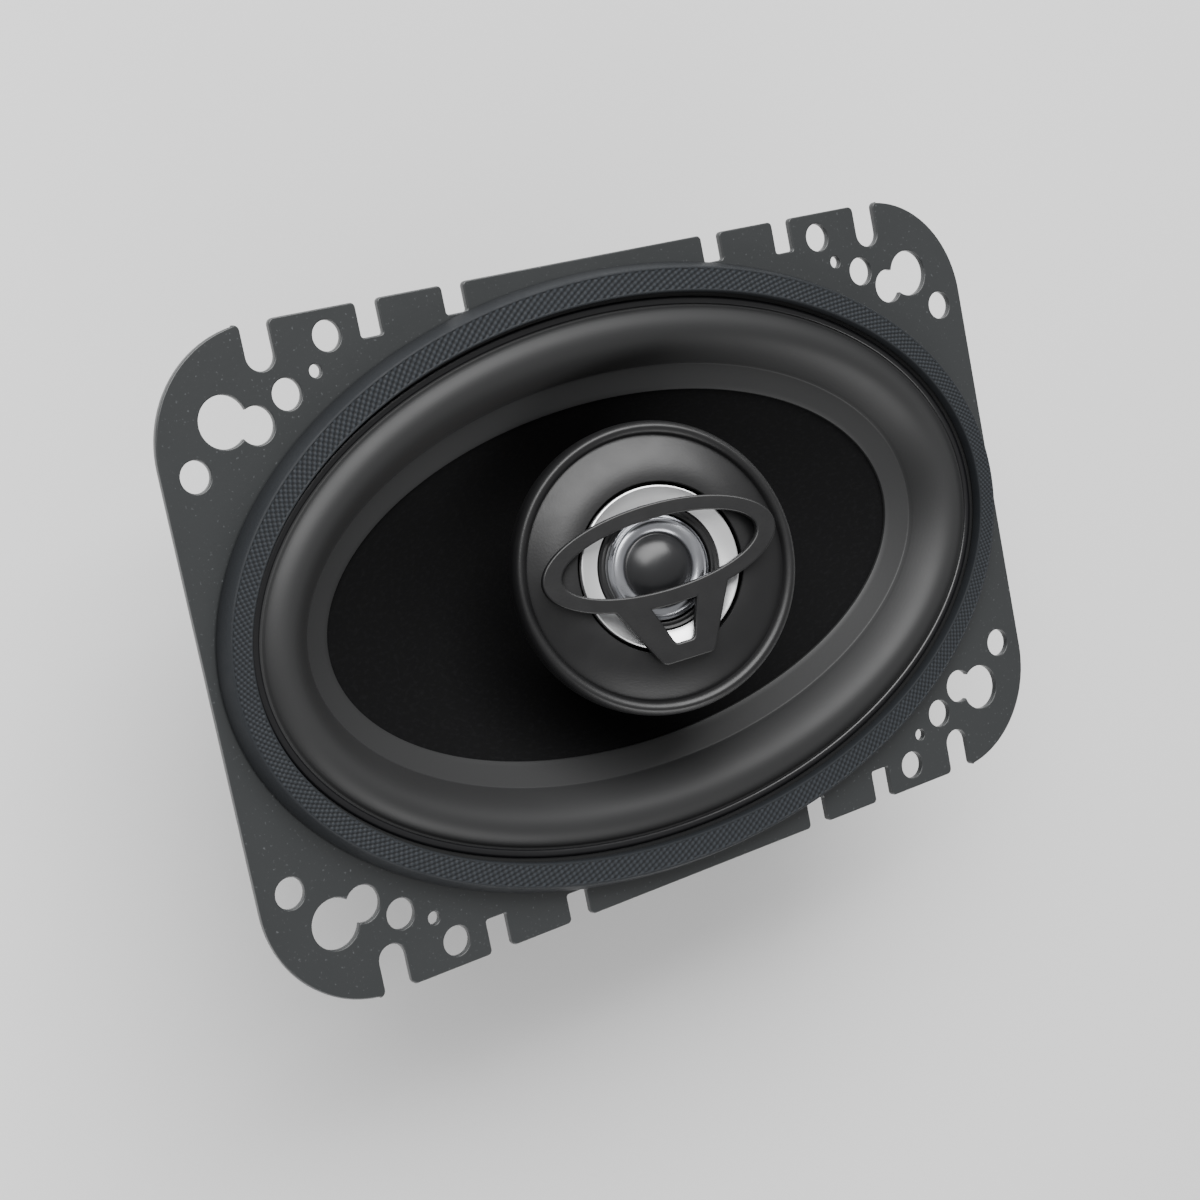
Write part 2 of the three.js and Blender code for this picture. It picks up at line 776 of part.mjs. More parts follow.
// The flared face: a bead at the rim, then a crowned slope up to the round hole.
function podBezel() {
  const steps = 5;
  const valley = podRadius - 2.4;
  const valleyHeight = podRimHeight - 1.1;
  const crown = [];
  for (let i = 0; i <= steps; i++) {
    const t = i / steps;
    const rise = Math.sin((t * Math.PI) / 2);
    crown.push([valley + t * (podHole - valley), valleyHeight + rise * (podFaceHeight - valleyHeight)]);
  }
  const skin = 1.2;
  const back = crown.map(([r, z]) => [r, z - skin]).reverse();
  return turned(
    [
      [podRadius, podRimHeight - 1.3],
      [podRadius - 0.5, podRimHeight - 0.3],
      [podRadius - 1.2, podRimHeight],
      [podRadius - 1.9, podRimHeight - 0.4],
      ...crown,
      ...back,
      [podRadius - 1.2, podRimHeight - 2.4 + gap],
      [podRadius - 0.9, podRimHeight - 2.4 + gap],
      [podRadius - 0.9, podRimHeight - 4],
      [podRadius - 0.1, podRimHeight - 4],
    ],
    40,
  );
}

pod.add(piece("tweeter_cup", tweeterCup(), "plastic"));
pod.add(piece("pod_bezel", podBezel(), "plastic"));

// A flat trapezium, from a wide upper edge to a narrow lower one.
function trapezium(shape, top, foot, topY, footY) {
  shape.moveTo(-top, topY);
  shape.lineTo(-foot, footY);
  shape.lineTo(foot, footY);
  shape.lineTo(top, topY);
  shape.closePath();
  return shape;
}

// An oval band in front of the dome, with two legs that run together at a flat foot on the face.
function guardRing() {
  const g = guard;
  const low = g.top - g.thickness;
  const depth = { depth: g.thickness, bevelEnabled: false };
  const band = new THREE.Shape();
  band.absellipse(0, g.offset, g.halfLength, g.halfWidth, 0, 2 * Math.PI);
  const eye = new THREE.Path();
  eye.absellipse(0, g.offset, g.halfLength - g.endBand, g.halfWidth - g.band, 0, 2 * Math.PI);
  band.holes.push(eye);
  const ring = new THREE.ExtrudeGeometry(band, { ...depth, curveSegments: 28 });
  const { legTop, legFoot, pad } = g;
  const legs = trapezium(new THREE.Shape(), legTop.outer, legFoot.outer, legTop.y, legFoot.y);
  const window = new THREE.Path();
  trapezium(window, legTop.inner, legFoot.inner, legTop.y - 0.5, legFoot.y + legFoot.thickness);
  legs.holes.push(window);
  const struts = new THREE.ExtrudeGeometry(legs, depth);
  ring.translate(0, 0, low);
  struts.translate(0, 0, low);
  const padX = g.halfLength - pad.inset;
  const padZ = low - 0.25;
  const pads = [-1, 1].map((s) => box(pad.sizeX, pad.sizeY, pad.sizeZ, s * padX, g.offset, padZ));
  return join(ring, struts, ...pads);
}

pod.add(piece("guard_ring", guardRing(), "plastic"));

// ---------------------------------------------------------------- tweeter inside the pod
const domeEdge = flareHeight - 1.5;

function flareRing() {
  return turned(
    [
      [flareInner, flareHeight - flareDrop],
      [flareOuter, flareHeight],
      [flareOuter, flareHeight - flareSkin.outer],
      [flareInner, flareHeight - flareDrop - flareSkin.inner],
    ],
    40,
  );
}

// The dark ring that carries the diaphragm, with a skirt down to the pod's floor.
function tweeterFrame() {
  const bore = tweeterPot.radius + gap;
  const ledge = tweeterBase + tweeterPot.height + gap;
  const shelf = flareHeight - frameShelf;
  const skirt = flareOuter - frameInset;
  return turned(
    [
      [annulusRadius + frameLip, ledge],
      [annulusRadius + frameLip, domeEdge],
      [flareInner - gap, flareHeight - flareDrop],
      [flareInner - gap, shelf],
      [skirt, shelf],
      [skirt, podFloor + gap],
      [bore, podFloor + gap],
      [bore, ledge],
    ],
    32,
  );
}

function tweeterPotShell() {
  const { radius, wall, height } = tweeterPot;
  return turned([
    [0, tweeterBase],
    [radius, tweeterBase],
    [radius, tweeterBase + height],
    [radius - wall, tweeterBase + height],
    [radius - wall, tweeterBase + wall],
    [0, tweeterBase + wall],
  ]);
}

const tweeterMagnetBottom = tweeterBase + tweeterPot.wall + gap;
const tweeterMagnetTop = tweeterMagnetBottom + tweeterMagnetHeight;
pod.add(piece("tweeter_flare", flareRing(), "silver"));
pod.add(piece("tweeter_frame", tweeterFrame(), "plastic"));
pod.add(piece("tweeter_pot", tweeterPotShell(), "zinc"));
const slug = rod(tweeterCoil - 0.9, tweeterMagnetBottom, tweeterMagnetTop, 0, 0, 24);
pod.add(piece("tweeter_magnet", slug, "zinc"));
const poleDisc = rod(tweeterCoil - 0.6, tweeterMagnetTop + gap, domeEdge - 0.9, 0, 0, 24);
pod.add(piece("tweeter_pole", poleDisc, "zinc"));

// The moving parts of the tweeter: a dome, the foil ring round it and its coil.
function tweeterDome() {
  const sphere = (domeRadius ** 2 + domeRise ** 2) / (2 * domeRise);
  const skin = 0.4;
  const half = asPolar(domeRadius, sphere);
  const middle = domeEdge + domeRise - sphere;
  return turned([
    ...arcPoints(sphere - skin, 0, half, 4, middle),
    ...arcPoints(sphere, half, 0, 4, middle),
  ]);
}

function foilRing() {
  const inner = domeRadius + 0.35;
  const steps = 4;
  const top = [];
  for (let i = 0; i <= steps; i++) {
    const t = i / steps;
    top.push([inner + t * (annulusRadius + 0.5 - inner), domeEdge + foilRise * Math.sin(Math.PI * t)]);
  }
  const under = top.map(([r, z]) => [r, z - foilSheet]).reverse();
  return turned([...top, ...under]);
}

pod.add(piece("tweeter_dome", tweeterDome(), "dome"));
pod.add(piece("tweeter_surround", foilRing(), "foil"));
const coilSection = ringSection(
  tweeterCoil - tweeterCoilWall / 2,
  tweeterCoil + tweeterCoilWall / 2,
  domeEdge - 2.4,
  domeEdge - 0.65,
);
pod.add(piece("tweeter_coil", turned(coilSection), "copper"));

// ---------------------------------------------------------------- capacitor and wires
const can = new THREE.CylinderGeometry(capacitor.radius, capacitor.radius, capacitor.length, 24);
can.rotateZ(Math.PI / 2);
const canZ = boardMiddleZ - capacitor.drop;
can.translate(0, capacitor.y, canZ);
speaker.add(piece("crossover_capacitor", can, "dome"));

for (const [pole, side] of [["positive", -1], ["negative", 1]]) {
  const out = side * 1.0;
  const end = side * (capacitor.length / 2 + 1.6);
  const lead = wire(
    [
      [side * wireSpread, 0, pivotZ + 3],
      [side * wireSpread, 0, topPlateTop + 0.4],
      [side * wireSpread, 0, 4.2],
      [side * wireSpread, -1.2, 1.6],
      [out, -6, 0.95],
      [out, -(yokeRadius - 3), 1],
      [out, -yokeRadius, 1.15],
      [out, -(magnetRadius + 0.4), 2.1],
      [out, -(magnetRadius + 1.6), 4.5],
      [out, -(magnetRadius + 1.8), magnetTop - 1.3],
      [out * 2, -(magnetRadius + 3), topPlateTop - 0.6],
      [end, capacitor.y, canZ - 5],
      [end, capacitor.y, canZ],
    ],
    wireRadius,
    34,
    5,
  );
  speaker.add(piece(`tweeter_lead_${pole}`, lead, "wire"));
  const tinsel = wire(
    [
      [side * 6.5, boardY + 2.2, boardMiddleZ - 1],
      [side * 8, boardY + 5, boardMiddleZ - 5],
      [side * 10, -34, coneNeckZ + 3],
      [side * 8, -24, coneNeckZ + 1.2],
      [side * 6, -(neckRadius + 2.95), coneNeckZ + 0.7],
    ],
    tinselRadius,
    14,
    5,
  );
  woofer.add(piece(`tinsel_lead_${pole}`, tinsel, "copper"));
}

export default speaker;
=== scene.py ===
"""An oval coaxial car speaker, face up on its motor: flange, woofer, swivelling tweeter pod and motor."""

import json
import math
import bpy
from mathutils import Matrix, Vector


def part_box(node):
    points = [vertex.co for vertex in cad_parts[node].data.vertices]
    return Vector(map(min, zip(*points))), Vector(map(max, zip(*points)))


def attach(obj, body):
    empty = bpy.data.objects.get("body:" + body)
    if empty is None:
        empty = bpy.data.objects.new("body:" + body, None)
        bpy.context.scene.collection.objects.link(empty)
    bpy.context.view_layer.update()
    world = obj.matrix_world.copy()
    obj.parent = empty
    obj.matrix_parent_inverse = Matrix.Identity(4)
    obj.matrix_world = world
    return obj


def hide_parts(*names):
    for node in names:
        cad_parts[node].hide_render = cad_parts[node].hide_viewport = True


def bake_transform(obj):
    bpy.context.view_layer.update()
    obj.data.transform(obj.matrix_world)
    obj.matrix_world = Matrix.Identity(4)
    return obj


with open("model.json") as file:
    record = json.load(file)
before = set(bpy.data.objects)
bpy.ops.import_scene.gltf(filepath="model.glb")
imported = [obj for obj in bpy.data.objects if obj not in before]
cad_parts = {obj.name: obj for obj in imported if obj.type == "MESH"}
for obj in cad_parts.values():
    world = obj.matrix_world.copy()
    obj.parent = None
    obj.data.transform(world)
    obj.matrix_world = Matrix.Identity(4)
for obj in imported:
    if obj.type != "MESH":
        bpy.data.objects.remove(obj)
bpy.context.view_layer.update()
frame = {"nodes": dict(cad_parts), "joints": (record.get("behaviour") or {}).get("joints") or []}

from types import SimpleNamespace

import bmesh
import bpy
import numpy as np
from mathutils import Matrix, Vector

bl_info = {
    "name": "Coaxial car speaker",
    "version": (1, 0, 0),
    "blender": (4, 5, 0),
    "location": "View3D > Sidebar > Speaker",
    "description": "Builds an oval coaxial car speaker with a swivelling tweeter pod",
    "category": "Object",
}

MM = 0.001
TURN = 2 * math.pi


# ------------------------------------------------------------------ places read from the frame
def joint(name):
    """The frame's joint of that name."""
    return next(j for j in frame["joints"] if j["name"] == name)


def pod_axes(roll):
    """The pod's own axes: Z out of the tweeter, X along its guard, origin in the middle of the ball."""
    out = Vector(joint("tweeter_travel")["axis"]).normalized()
    across = Vector(joint("pod_swivel_across")["axis"]).normalized()
    across = Matrix.Rotation(math.radians(roll), 3, out) @ across
    turn = Matrix((across, out.cross(across), out)).transposed().to_4x4()
    return Matrix.Translation(Vector(joint("pod_swivel_along")["pos_m"])) @ turn


POD = pod_axes(roll=3.0)
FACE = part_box("basket")[1].z


def points_of(piece):
    """The points of a piece's mesh, in metres."""
    at = np.empty(3 * len(piece.data.vertices))
    piece.data.vertices.foreach_get("co", at)
    return at.reshape(-1, 3)


def pod_extent(node):
    """(outer radius, lowest, highest) of a CAD node, in millimetres on the pod's own axes."""
    back = np.array(POD.inverted())
    local = (points_of(frame["nodes"][node]) @ back[:3, :3].T + back[:3, 3]) / MM
    return np.hypot(local[:, 0], local[:, 1]).max(), local[:, 2].min(), local[:, 2].max()


def half(node):
    """(half length, half width, lowest z, highest z) of a CAD node centred on the axis, in millimetres."""
    low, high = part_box(node)
    return (high.x - low.x) / 2 / MM, (high.y - low.y) / 2 / MM, low.z / MM, high.z / MM


# ------------------------------------------------------------------ mesh from arrays
def link(name, data):
    """A new object in the scene that holds the data."""
    piece = bpy.data.objects.new(name, data)
    bpy.context.scene.collection.objects.link(piece)
    return piece


def faces_inward(points, quads):
    """Whether the volume that the quads enclose, summed as tetrahedra to the origin, is negative."""
    a, b, c, d = (points[quads[:, i]] for i in range(4))
    volume = np.einsum("ij,ij->i", a, np.cross(b, c)).sum() + np.einsum("ij,ij->i", a, np.cross(c, d)).sum()
    return volume < 0


def surface(name, points, wrap=(True, True), place=None):
    """A grid of points, rows by columns, as quads. Each wrapped direction joins its last line to its first.

    The UV map holds the row's share of the way round and the column's distance along the section.
    """
    rows, columns = points.shape[:2]
    flat = points.reshape(-1, 3) * MM
    if place is not None:
        turn = np.array(place)
        flat = flat @ turn[:3, :3].T + turn[:3, 3]
    row_count = rows if wrap[0] else rows - 1
    column_count = columns if wrap[1] else columns - 1
    i, j = np.meshgrid(np.arange(row_count), np.arange(column_count), indexing="ij")
    i, j = i.ravel(), j.ravel()
    i2, j2 = (i + 1) % rows, (j + 1) % columns
    quads = np.stack([i * columns + j, i2 * columns + j, i2 * columns + j2, i * columns + j2], axis=1)
    corner_rows = np.stack([i, i + 1, i + 1, i], axis=1)
    corner_columns = np.stack([j, j, j + 1, j + 1], axis=1)
    if faces_inward(flat, quads):
        quads, corner_rows, corner_columns = (grid[:, ::-1] for grid in (quads, corner_rows, corner_columns))
    steps = np.linalg.norm(np.diff(points[0], axis=0, append=points[0][:1]), axis=1)
    along = np.concatenate([[0.0], np.cumsum(steps)])
    mesh = bpy.data.meshes.new(name)
    mesh.from_pydata(flat.tolist(), [], quads.tolist())
    uv = mesh.uv_layers.new(name="UVMap")
    pairs = np.stack([corner_rows / rows, along[corner_columns]], axis=2)
    uv.data.foreach_set("uv", pairs.astype(np.float32).ravel())
    piece = link(name, mesh)
    tidy(mesh)
    return piece


def tidy(mesh):
    """Merges points that lie on each other, at poles and caps, and drops the faces that this empties."""
    work = bmesh.new()
    work.from_mesh(mesh)
    bmesh.ops.remove_doubles(work, verts=work.verts, dist=1e-7)
    bmesh.ops.dissolve_degenerate(work, edges=work.edges, dist=1e-8)
    work.to_mesh(mesh)
    work.free()
    mesh.shade_smooth()
    mesh.set_sharp_from_angle(angle=math.radians(38))


def keep_level(mesh, up):
    """Shades the faces that are square to up flat, so that no streaks cross their long triangles."""
    slanted = [abs(face.normal.dot(up)) < 0.9999 for face in mesh.polygons]
    mesh.polygons.foreach_set("use_smooth", slanted)


def soften(corners, radius, steps=4, closed=True):
    """A section's corners, each replaced by a quadratic curve that meets its edges radius away."""
    corners = np.asarray(corners, float)
    count = len(corners)
    radius = np.broadcast_to(np.asarray(radius, float), (count,))
    t = np.linspace(0, 1, steps + 1)[:, None]
    out = []
    for k in range(count):
        if not closed and k in (0, count - 1):
            out.append(corners[k][None])
            continue
        here, before, after = corners[k], corners[k - 1], corners[(k + 1) % count]
        edge_in, edge_out = np.linalg.norm(before - here), np.linalg.norm(after - here)
        cut_in, cut_out = min(radius[k], 0.49 * edge_in), min(radius[k], 0.49 * edge_out)
        if min(cut_in, cut_out) < 1e-6:
            out.append(here[None])
            continue
        start = here + (before - here) / edge_in * cut_in
        end = here + (after - here) / edge_out * cut_out
        out.append((1 - t) ** 2 * start + 2 * t * (1 - t) * here + t**2 * end)
    return np.concatenate(out)


def around(section, steps):
    """Points (a cos t, b sin t, z) for each section point (a, b, z) and each of steps equal turns t."""
    t = np.arange(steps) / steps * TURN
    a, b, z = np.asarray(section, float).T
    return np.stack(
        [np.cos(t)[:, None] * a, np.sin(t)[:, None] * b, np.broadcast_to(z, (steps, len(z)))],
        axis=2,
    )


def oval(name, section, steps=256):
    """A closed section of (length semi-axis, width semi-axis, z) carried round Z."""
    return surface(name, around(section, steps))


def turned(name, section, steps=96, place=None, pole=False):
    """A section of (radius, z) turned round Z; with pole, it starts and ends on the axis and isn't closed."""
    section = np.asarray(section, float)
    full = np.stack([section[:, 0], section[:, 0], section[:, 1]], axis=1)
    return surface(name, around(full, steps), wrap=(True, not pole), place=place)


def tube(name, path, radius, sides=14):
    """Circles square to a path, lined up by one fixed direction so that they don't twist.

    Each end closes to a point in its middle.
    """
    path = np.asarray(path, float)
    ahead = np.gradient(path, axis=0)
    ahead /= np.linalg.norm(ahead, axis=1)[:, None]
    side = np.cross(ahead, (0.31, 0.87, 0.38))
    side /= np.linalg.norm(side, axis=1)[:, None]
    other = np.cross(ahead, side)
    t = np.arange(sides) / sides * TURN
    radius = np.broadcast_to(np.asarray(radius, float), (len(path),)).copy()
    path = np.concatenate([path[:1], path, path[-1:]])
    side = np.concatenate([side[:1], side, side[-1:]])
    other = np.concatenate([other[:1], other, other[-1:]])
    radius = np.concatenate([[0], radius, [0]])
    ring = np.cos(t)[None, :, None] * side[:, None] + np.sin(t)[None, :, None] * other[:, None]
    return surface(name, path[:, None] + radius[:, None, None] * ring, wrap=(False, True))


def smooth_path(points, count):
    """A Catmull-Rom curve through the points, sampled count times."""
    p = np.asarray(points, float)
    p = np.concatenate([2 * p[:1] - p[1:2], p, 2 * p[-1:] - p[-2:-1]])
    s = np.linspace(0, len(p) - 3 - 1e-9, count)
    k = s.astype(int)
    t = (s - k)[:, None]
    a, b, c, d = (p[k + i] for i in range(4))
    return 0.5 * (2 * b + (c - a) * t + (2 * a - 5 * b + 4 * c - d) * t**2 + (3 * b - a - 3 * c + d) * t**3)


def block(name, centre, size, sharpness=0.18, place=None, columns=32, rows=24):
    """A box with rounded edges: a superellipsoid, whose sines and cosines are raised to a small power."""

    def power(value):
        """The value's size raised to the power, with its sign kept."""
        return np.sign(value) * np.abs(value) ** sharpness

    u = np.arange(columns) / columns * TURN + TURN / columns / 2
    v = np.linspace(-math.pi / 2, math.pi / 2, rows)
    x = power(np.cos(u))[:, None] * power(np.cos(v))
    y = power(np.sin(u))[:, None] * power(np.cos(v))
    z = np.broadcast_to(power(np.sin(v)), x.shape)
    points = np.stack([x, y, z], axis=2) * np.asarray(size) / 2 + np.asarray(centre)
    return surface(name, points, wrap=(True, False), place=place)


def plate(name, outline, holes, bottom, top, rounding=0.18, place=None):
    """A flat sheet with holes, its edges rounded: a filled flat curve made a mesh, then put at its height."""
    curve = bpy.data.curves.new(name, "CURVE")
    curve.dimensions = "2D"
    curve.fill_mode = "BOTH"
    curve.bevel_depth = rounding * MM
    curve.bevel_resolution = 2
    curve.offset = -rounding * MM
    curve.extrude = ((top - bottom) / 2 - rounding) * MM
    for loop in [outline, *holes]:
        spline = curve.splines.new("POLY")
        spline.points.add(len(loop) - 1)
        flat = np.column_stack([np.asarray(loop) * MM, np.zeros(len(loop)), np.ones(len(loop))])
        spline.points.foreach_set("co", flat.astype(np.float32).ravel())
        spline.use_cyclic_u = True
    holder = link(name + ".line", curve)
    bpy.context.view_layer.update()
    mesh = bpy.data.meshes.new_from_object(holder.evaluated_get(bpy.context.evaluated_depsgraph_get()))
    bpy.data.objects.remove(holder)
    mesh.name = name
    mesh.transform((place or Matrix()) @ Matrix.Translation((0, 0, (bottom + top) / 2 * MM)))
    piece = link(name, mesh)
    tidy(mesh)
    keep_level(mesh, (place or Matrix()).to_3x3() @ Vector((0, 0, 1)))
    return piece


def cut_away(piece, cutters):
    """The piece less each cutter, worked out with a Boolean modifier that is applied at once."""
    for cutter in cutters:
        modifier = piece.modifiers.new("cut", "BOOLEAN")
        modifier.operation = "DIFFERENCE"
        modifier.object = cutter
        modifier.solver = "EXACT"
    bpy.context.view_layer.update()
    seen = piece.evaluated_get(bpy.context.evaluated_depsgraph_get())
    mesh = bpy.data.meshes.new_from_object(seen)
    piece.modifiers.clear()
    piece.data = mesh
    for cutter in cutters:
        bpy.data.objects.remove(cutter)
    tidy(mesh)
    return piece


# ------------------------------------------------------------------ finishes
class Finish:
    """A material with one Principled shader, and short calls that add pattern nodes in front of it."""

    def __init__(self, name, colour, roughness, metallic=0.0, **fixed):
        self.material = bpy.data.materials.new(name)
        self.material.use_nodes = True
        self.nodes = self.material.node_tree.nodes
        self.links = self.material.node_tree.links
        self.shader = self.nodes["Principled BSDF"]
        self.base = tuple(colour)
        self.shader.inputs["Base Color"].default_value = (*colour, 1)
        self.shader.inputs["Roughness"].default_value = roughness
        self.shader.inputs["Metallic"].default_value = metallic
        for socket, value in fixed.items():
            self.shader.inputs[socket.replace("_", " ")].default_value = value
        self.normal = None

    def add(self, kind, inputs=None, **settings):
        """A node of that kind, with its settings made and its inputs given a value or a link."""
        node = self.nodes.new(kind)
        for key, value in settings.items():
            setattr(node, key, value)
        for key, value in (inputs or {}).items():
            if isinstance(value, bpy.types.NodeSocket):
                self.links.new(value, node.inputs[key])
            else:
                node.inputs[key].default_value = value
        return node

    def place(self, stretch, source):
        """Object coordinates, or the piece's UV map, stretched."""
        where = self.add("ShaderNodeTexCoord").outputs[source]
        inputs = {"Vector": where, "Scale": stretch}
        return self.add("ShaderNodeMapping", inputs).outputs["Vector"]

    def noise(self, scale, detail=3.0, stretch=(1, 1, 1), source="Object", rough=0.5):
        """Fractal noise, from 0 to 1."""
        inputs = {"Vector": self.place(stretch, source), "Scale": scale, "Detail": detail, "Roughness": rough}
        return self.add("ShaderNodeTexNoise", inputs).outputs["Fac"]

    def cells(self, scale):
        """Distance to the nearest of a set of scattered points."""
        inputs = {"Vector": self.place((1, 1, 1), "Object"), "Scale": scale}
        return self.add("ShaderNodeTexVoronoi", inputs).outputs["Distance"]

    def bands(self, scale, source="UV", direction="Y", wobble=0.0):
        """Sine bands across one direction."""
        where = self.place((1, 1, 1), source)
        inputs = {"Vector": where, "Scale": scale, "Distortion": wobble, "Detail": 1.0}
        return self.add("ShaderNodeTexWave", inputs, bands_direction=direction).outputs["Fac"]

    def ramp(self, value, low, high, to_low=0.0, to_high=1.0):
        """The value, mapped from low..high to to_low..to_high and held there."""
        inputs = {"Value": value, "From Min": low, "From Max": high, "To Min": to_low, "To Max": to_high}
        return self.add("ShaderNodeMapRange", inputs).outputs["Result"]

    def tint(self, factor, colour, amount=1.0):
        """Mixes another colour into the base where factor is high."""
        socket = self.shader.inputs["Base Color"]
        node = self.add("ShaderNodeMix", data_type="RGBA")
        scaled = self.ramp(factor, 0, 1, 0, amount)
        self.links.new(scaled, node.inputs["Factor"])
        if socket.links:
            self.links.new(socket.links[0].from_socket, node.inputs["A"])
        else:
            node.inputs["A"].default_value = (*self.base, 1)
        node.inputs["B"].default_value = (*colour, 1)
        self.links.new(node.outputs["Result"], socket)
        return self

    def rough(self, factor, low, high):
        """Roughness that runs from low to high with factor."""
        self.links.new(self.ramp(factor, 0, 1, low, high), self.shader.inputs["Roughness"])
        return self

    def bump(self, height, distance, strength=1.0):
        """Small relief, distance millimetres high, over any relief already added."""
        node = self.add("ShaderNodeBump", {"Height": height, "Distance": distance * MM, "Strength": strength})
        if self.normal is not None:
            self.links.new(self.normal, node.inputs["Normal"])
        self.normal = node.outputs["Normal"]
        self.links.new(self.normal, self.shader.inputs["Normal"])
        return self


finishes = {}


def finish_of(name):
    """The finish of that name, made the first time it is asked for."""
    if name not in finishes:
        finishes[name] = FINISH_MAKERS[name]()
    return finishes[name].material


def electrocoat():
    """Satin black electrocoat on sheet steel: fine orange peel, faint cloudiness and specks of dust."""
    paint = bpy.context.scene.speaker_colours.flange
    f = Finish("flange_electrocoat", paint, 0.36, Coat_Weight=0.25, Coat_Roughness=0.3)
    f.tint(f.noise(28, 4), [c * 1.35 for c in paint], 0.55)
    f.tint(f.ramp(f.noise(1900, 2), 0.66, 0.78), (0.2, 0.21, 0.22), 0.35)
    f.rough(f.noise(90, 3), 0.3, 0.46)
    return f.bump(f.noise(1300, 3), 0.035, 0.5).bump(f.noise(160, 2), 0.06, 0.25)


def moulded_rubber():
    """Grey-blue moulded rubber of the gasket, with painted highlight on its knurl's crests and painted shade
    in its low places.
    """
    colour = bpy.context.scene.speaker_colours.gasket
    f = Finish("gasket_rubber", colour, 0.62, Specular_IOR_Level=0.35)
    # Painted highlight and shade: the higher the knurl's relief, the lighter the colour, up to 4.6 times the
    # rubber's own on the crests.
    height = f.add("ShaderNodeAttribute", attribute_name="relief").outputs["Fac"]
    f.tint(height, [c * 4.6 for c in colour], 0.85)
    f.tint(f.noise(220, 4), [c * 1.5 for c in colour], 0.3)
    f.rough(f.noise(400, 3), 0.52, 0.78)
    return f.bump(f.noise(2600, 3), 0.05, 0.5)


def butyl():
    """Satin butyl rubber: very even, with a soft bloom and fine mould texture."""
    colour = bpy.context.scene.speaker_colours.surround
    f = Finish("surround_butyl", colour, 0.5, Specular_IOR_Level=0.45)
    f.tint(f.noise(35, 5), [c * 1.25 for c in colour], 0.5)
    f.rough(f.noise(60, 4), 0.44, 0.6)
    return f.bump(f.noise(2200, 3), 0.02, 0.45).bump(f.noise(70, 2), 0.05, 0.2)


def pulp():
    """Black fibre cone: matt, with fibres that run outwards and a felt-like grain."""
    colour = bpy.context.scene.speaker_colours.cone
    f = Finish("cone_pulp", colour, 0.85, Specular_IOR_Level=0.12)
    fibres = f.noise(9, 5, (26, 0.09, 1), "UV", 0.65)
    f.tint(f.ramp(fibres, 0.5, 0.72), [c * 2.4 for c in colour], 0.7)
    f.tint(f.ramp(f.noise(900, 4), 0.6, 0.75), [c * 2 for c in colour], 0.5)
    f.rough(fibres, 0.78, 0.95)
    return f.bump(fibres, 0.06, 0.5).bump(f.noise(1700, 4), 0.05, 0.6)


def moulding():
    """Satin moulded plastic with a spark-eroded grain."""
    colour = bpy.context.scene.speaker_colours.pod
    f = Finish("pod_plastic", colour, 0.38)
    f.tint(f.noise(60, 4), [c * 1.4 for c in colour], 0.5)
    f.rough(f.noise(300, 3), 0.33, 0.47)
    return f.bump(f.noise(2400, 2), 0.03, 0.45)


def bright_plate():
    """Satin chrome on the flare ring: fine turned lines and a trace of haze."""
    f = Finish("flare_chrome", (0.97, 0.975, 0.98), 0.3, 0.7)
    f.tint(f.noise(90, 3), (0.86, 0.87, 0.89), 0.35)
    lines = f.bands(1.3)
    f.rough(f.noise(240, 3), 0.3, 0.42)
    return f.bump(lines, 0.004, 0.3)


def foil():
    """Metallised film of the tweeter's ring: bright, with faint turned lines."""
    f = Finish("foil_film", (0.5, 0.51, 0.54), 0.28, 1.0)
    f.tint(f.noise(150, 3), (0.38, 0.39, 0.42), 0.4)
    f.rough(f.noise(500, 2), 0.24, 0.34)
    return f.bump(f.bands(1.6), 0.003, 0.3)


def dome_film():
    """Dark smooth film of the dome, with a soft haze."""
    f = Finish("dome_film", (0.012, 0.0122, 0.0132), 0.32, Coat_Weight=0.15, Coat_Roughness=0.25)
    f.tint(f.noise(200, 4), (0.024, 0.0245, 0.026), 0.5)
    f.rough(f.noise(260, 3), 0.24, 0.4)
    return f.bump(f.noise(1500, 2), 0.01, 0.4)


def zinc():
    """Clear-passivated zinc plating: a cool grey with cloudy spangle."""
    f = Finish("zinc_plating", (0.36, 0.365, 0.38), 0.4, 1.0)
    f.tint(f.cells(420), (0.46, 0.465, 0.475), 0.4)
    f.tint(f.ramp(f.noise(70, 5), 0.5, 0.8), (0.27, 0.265, 0.24), 0.5)
    f.rough(f.noise(120, 4), 0.3, 0.55)
    lathe = f.bands(900, "Object", "Z")
    return f.bump(lathe, 0.01, 0.3).bump(f.noise(1500, 3), 0.02, 0.5)


def sintered():
    """Ground ferrite: charcoal, grainy, with pale chips."""
    f = Finish("ferrite", (0.035, 0.036, 0.04), 0.55, 0.1)
    f.tint(f.noise(260, 6), (0.08, 0.08, 0.085), 0.6)
    f.tint(f.ramp(f.noise(1400, 2), 0.68, 0.76), (0.2, 0.2, 0.2), 0.4)
    f.rough(f.noise(200, 4), 0.45, 0.7)
    return f.bump(f.noise(900, 5), 0.06, 0.6)


def woven():
    """Resin-dipped cloth of the spider: amber warp and weft."""
    f = Finish("spider_cloth", (0.4, 0.24, 0.09), 0.8)
    warp = f.bands(1500, "Object", "X", 0.2)
    weft = f.bands(1500, "Object", "Y", 0.2)
    f.tint(warp, (0.6, 0.4, 0.17), 0.5)
    f.tint(weft, (0.24, 0.13, 0.05), 0.35)
    return f.bump(warp, 0.08, 0.6).bump(weft, 0.08, 0.6)


def amber_film():
    """Amber film of the coil former and the liner of the ball joint."""
    f = Finish("amber_film", (0.42, 0.22, 0.05), 0.3, Coat_Weight=0.4)
    f.tint(f.noise(120, 3), (0.55, 0.32, 0.1), 0.5)
    return f.bump(f.noise(900, 2), 0.02, 0.4)


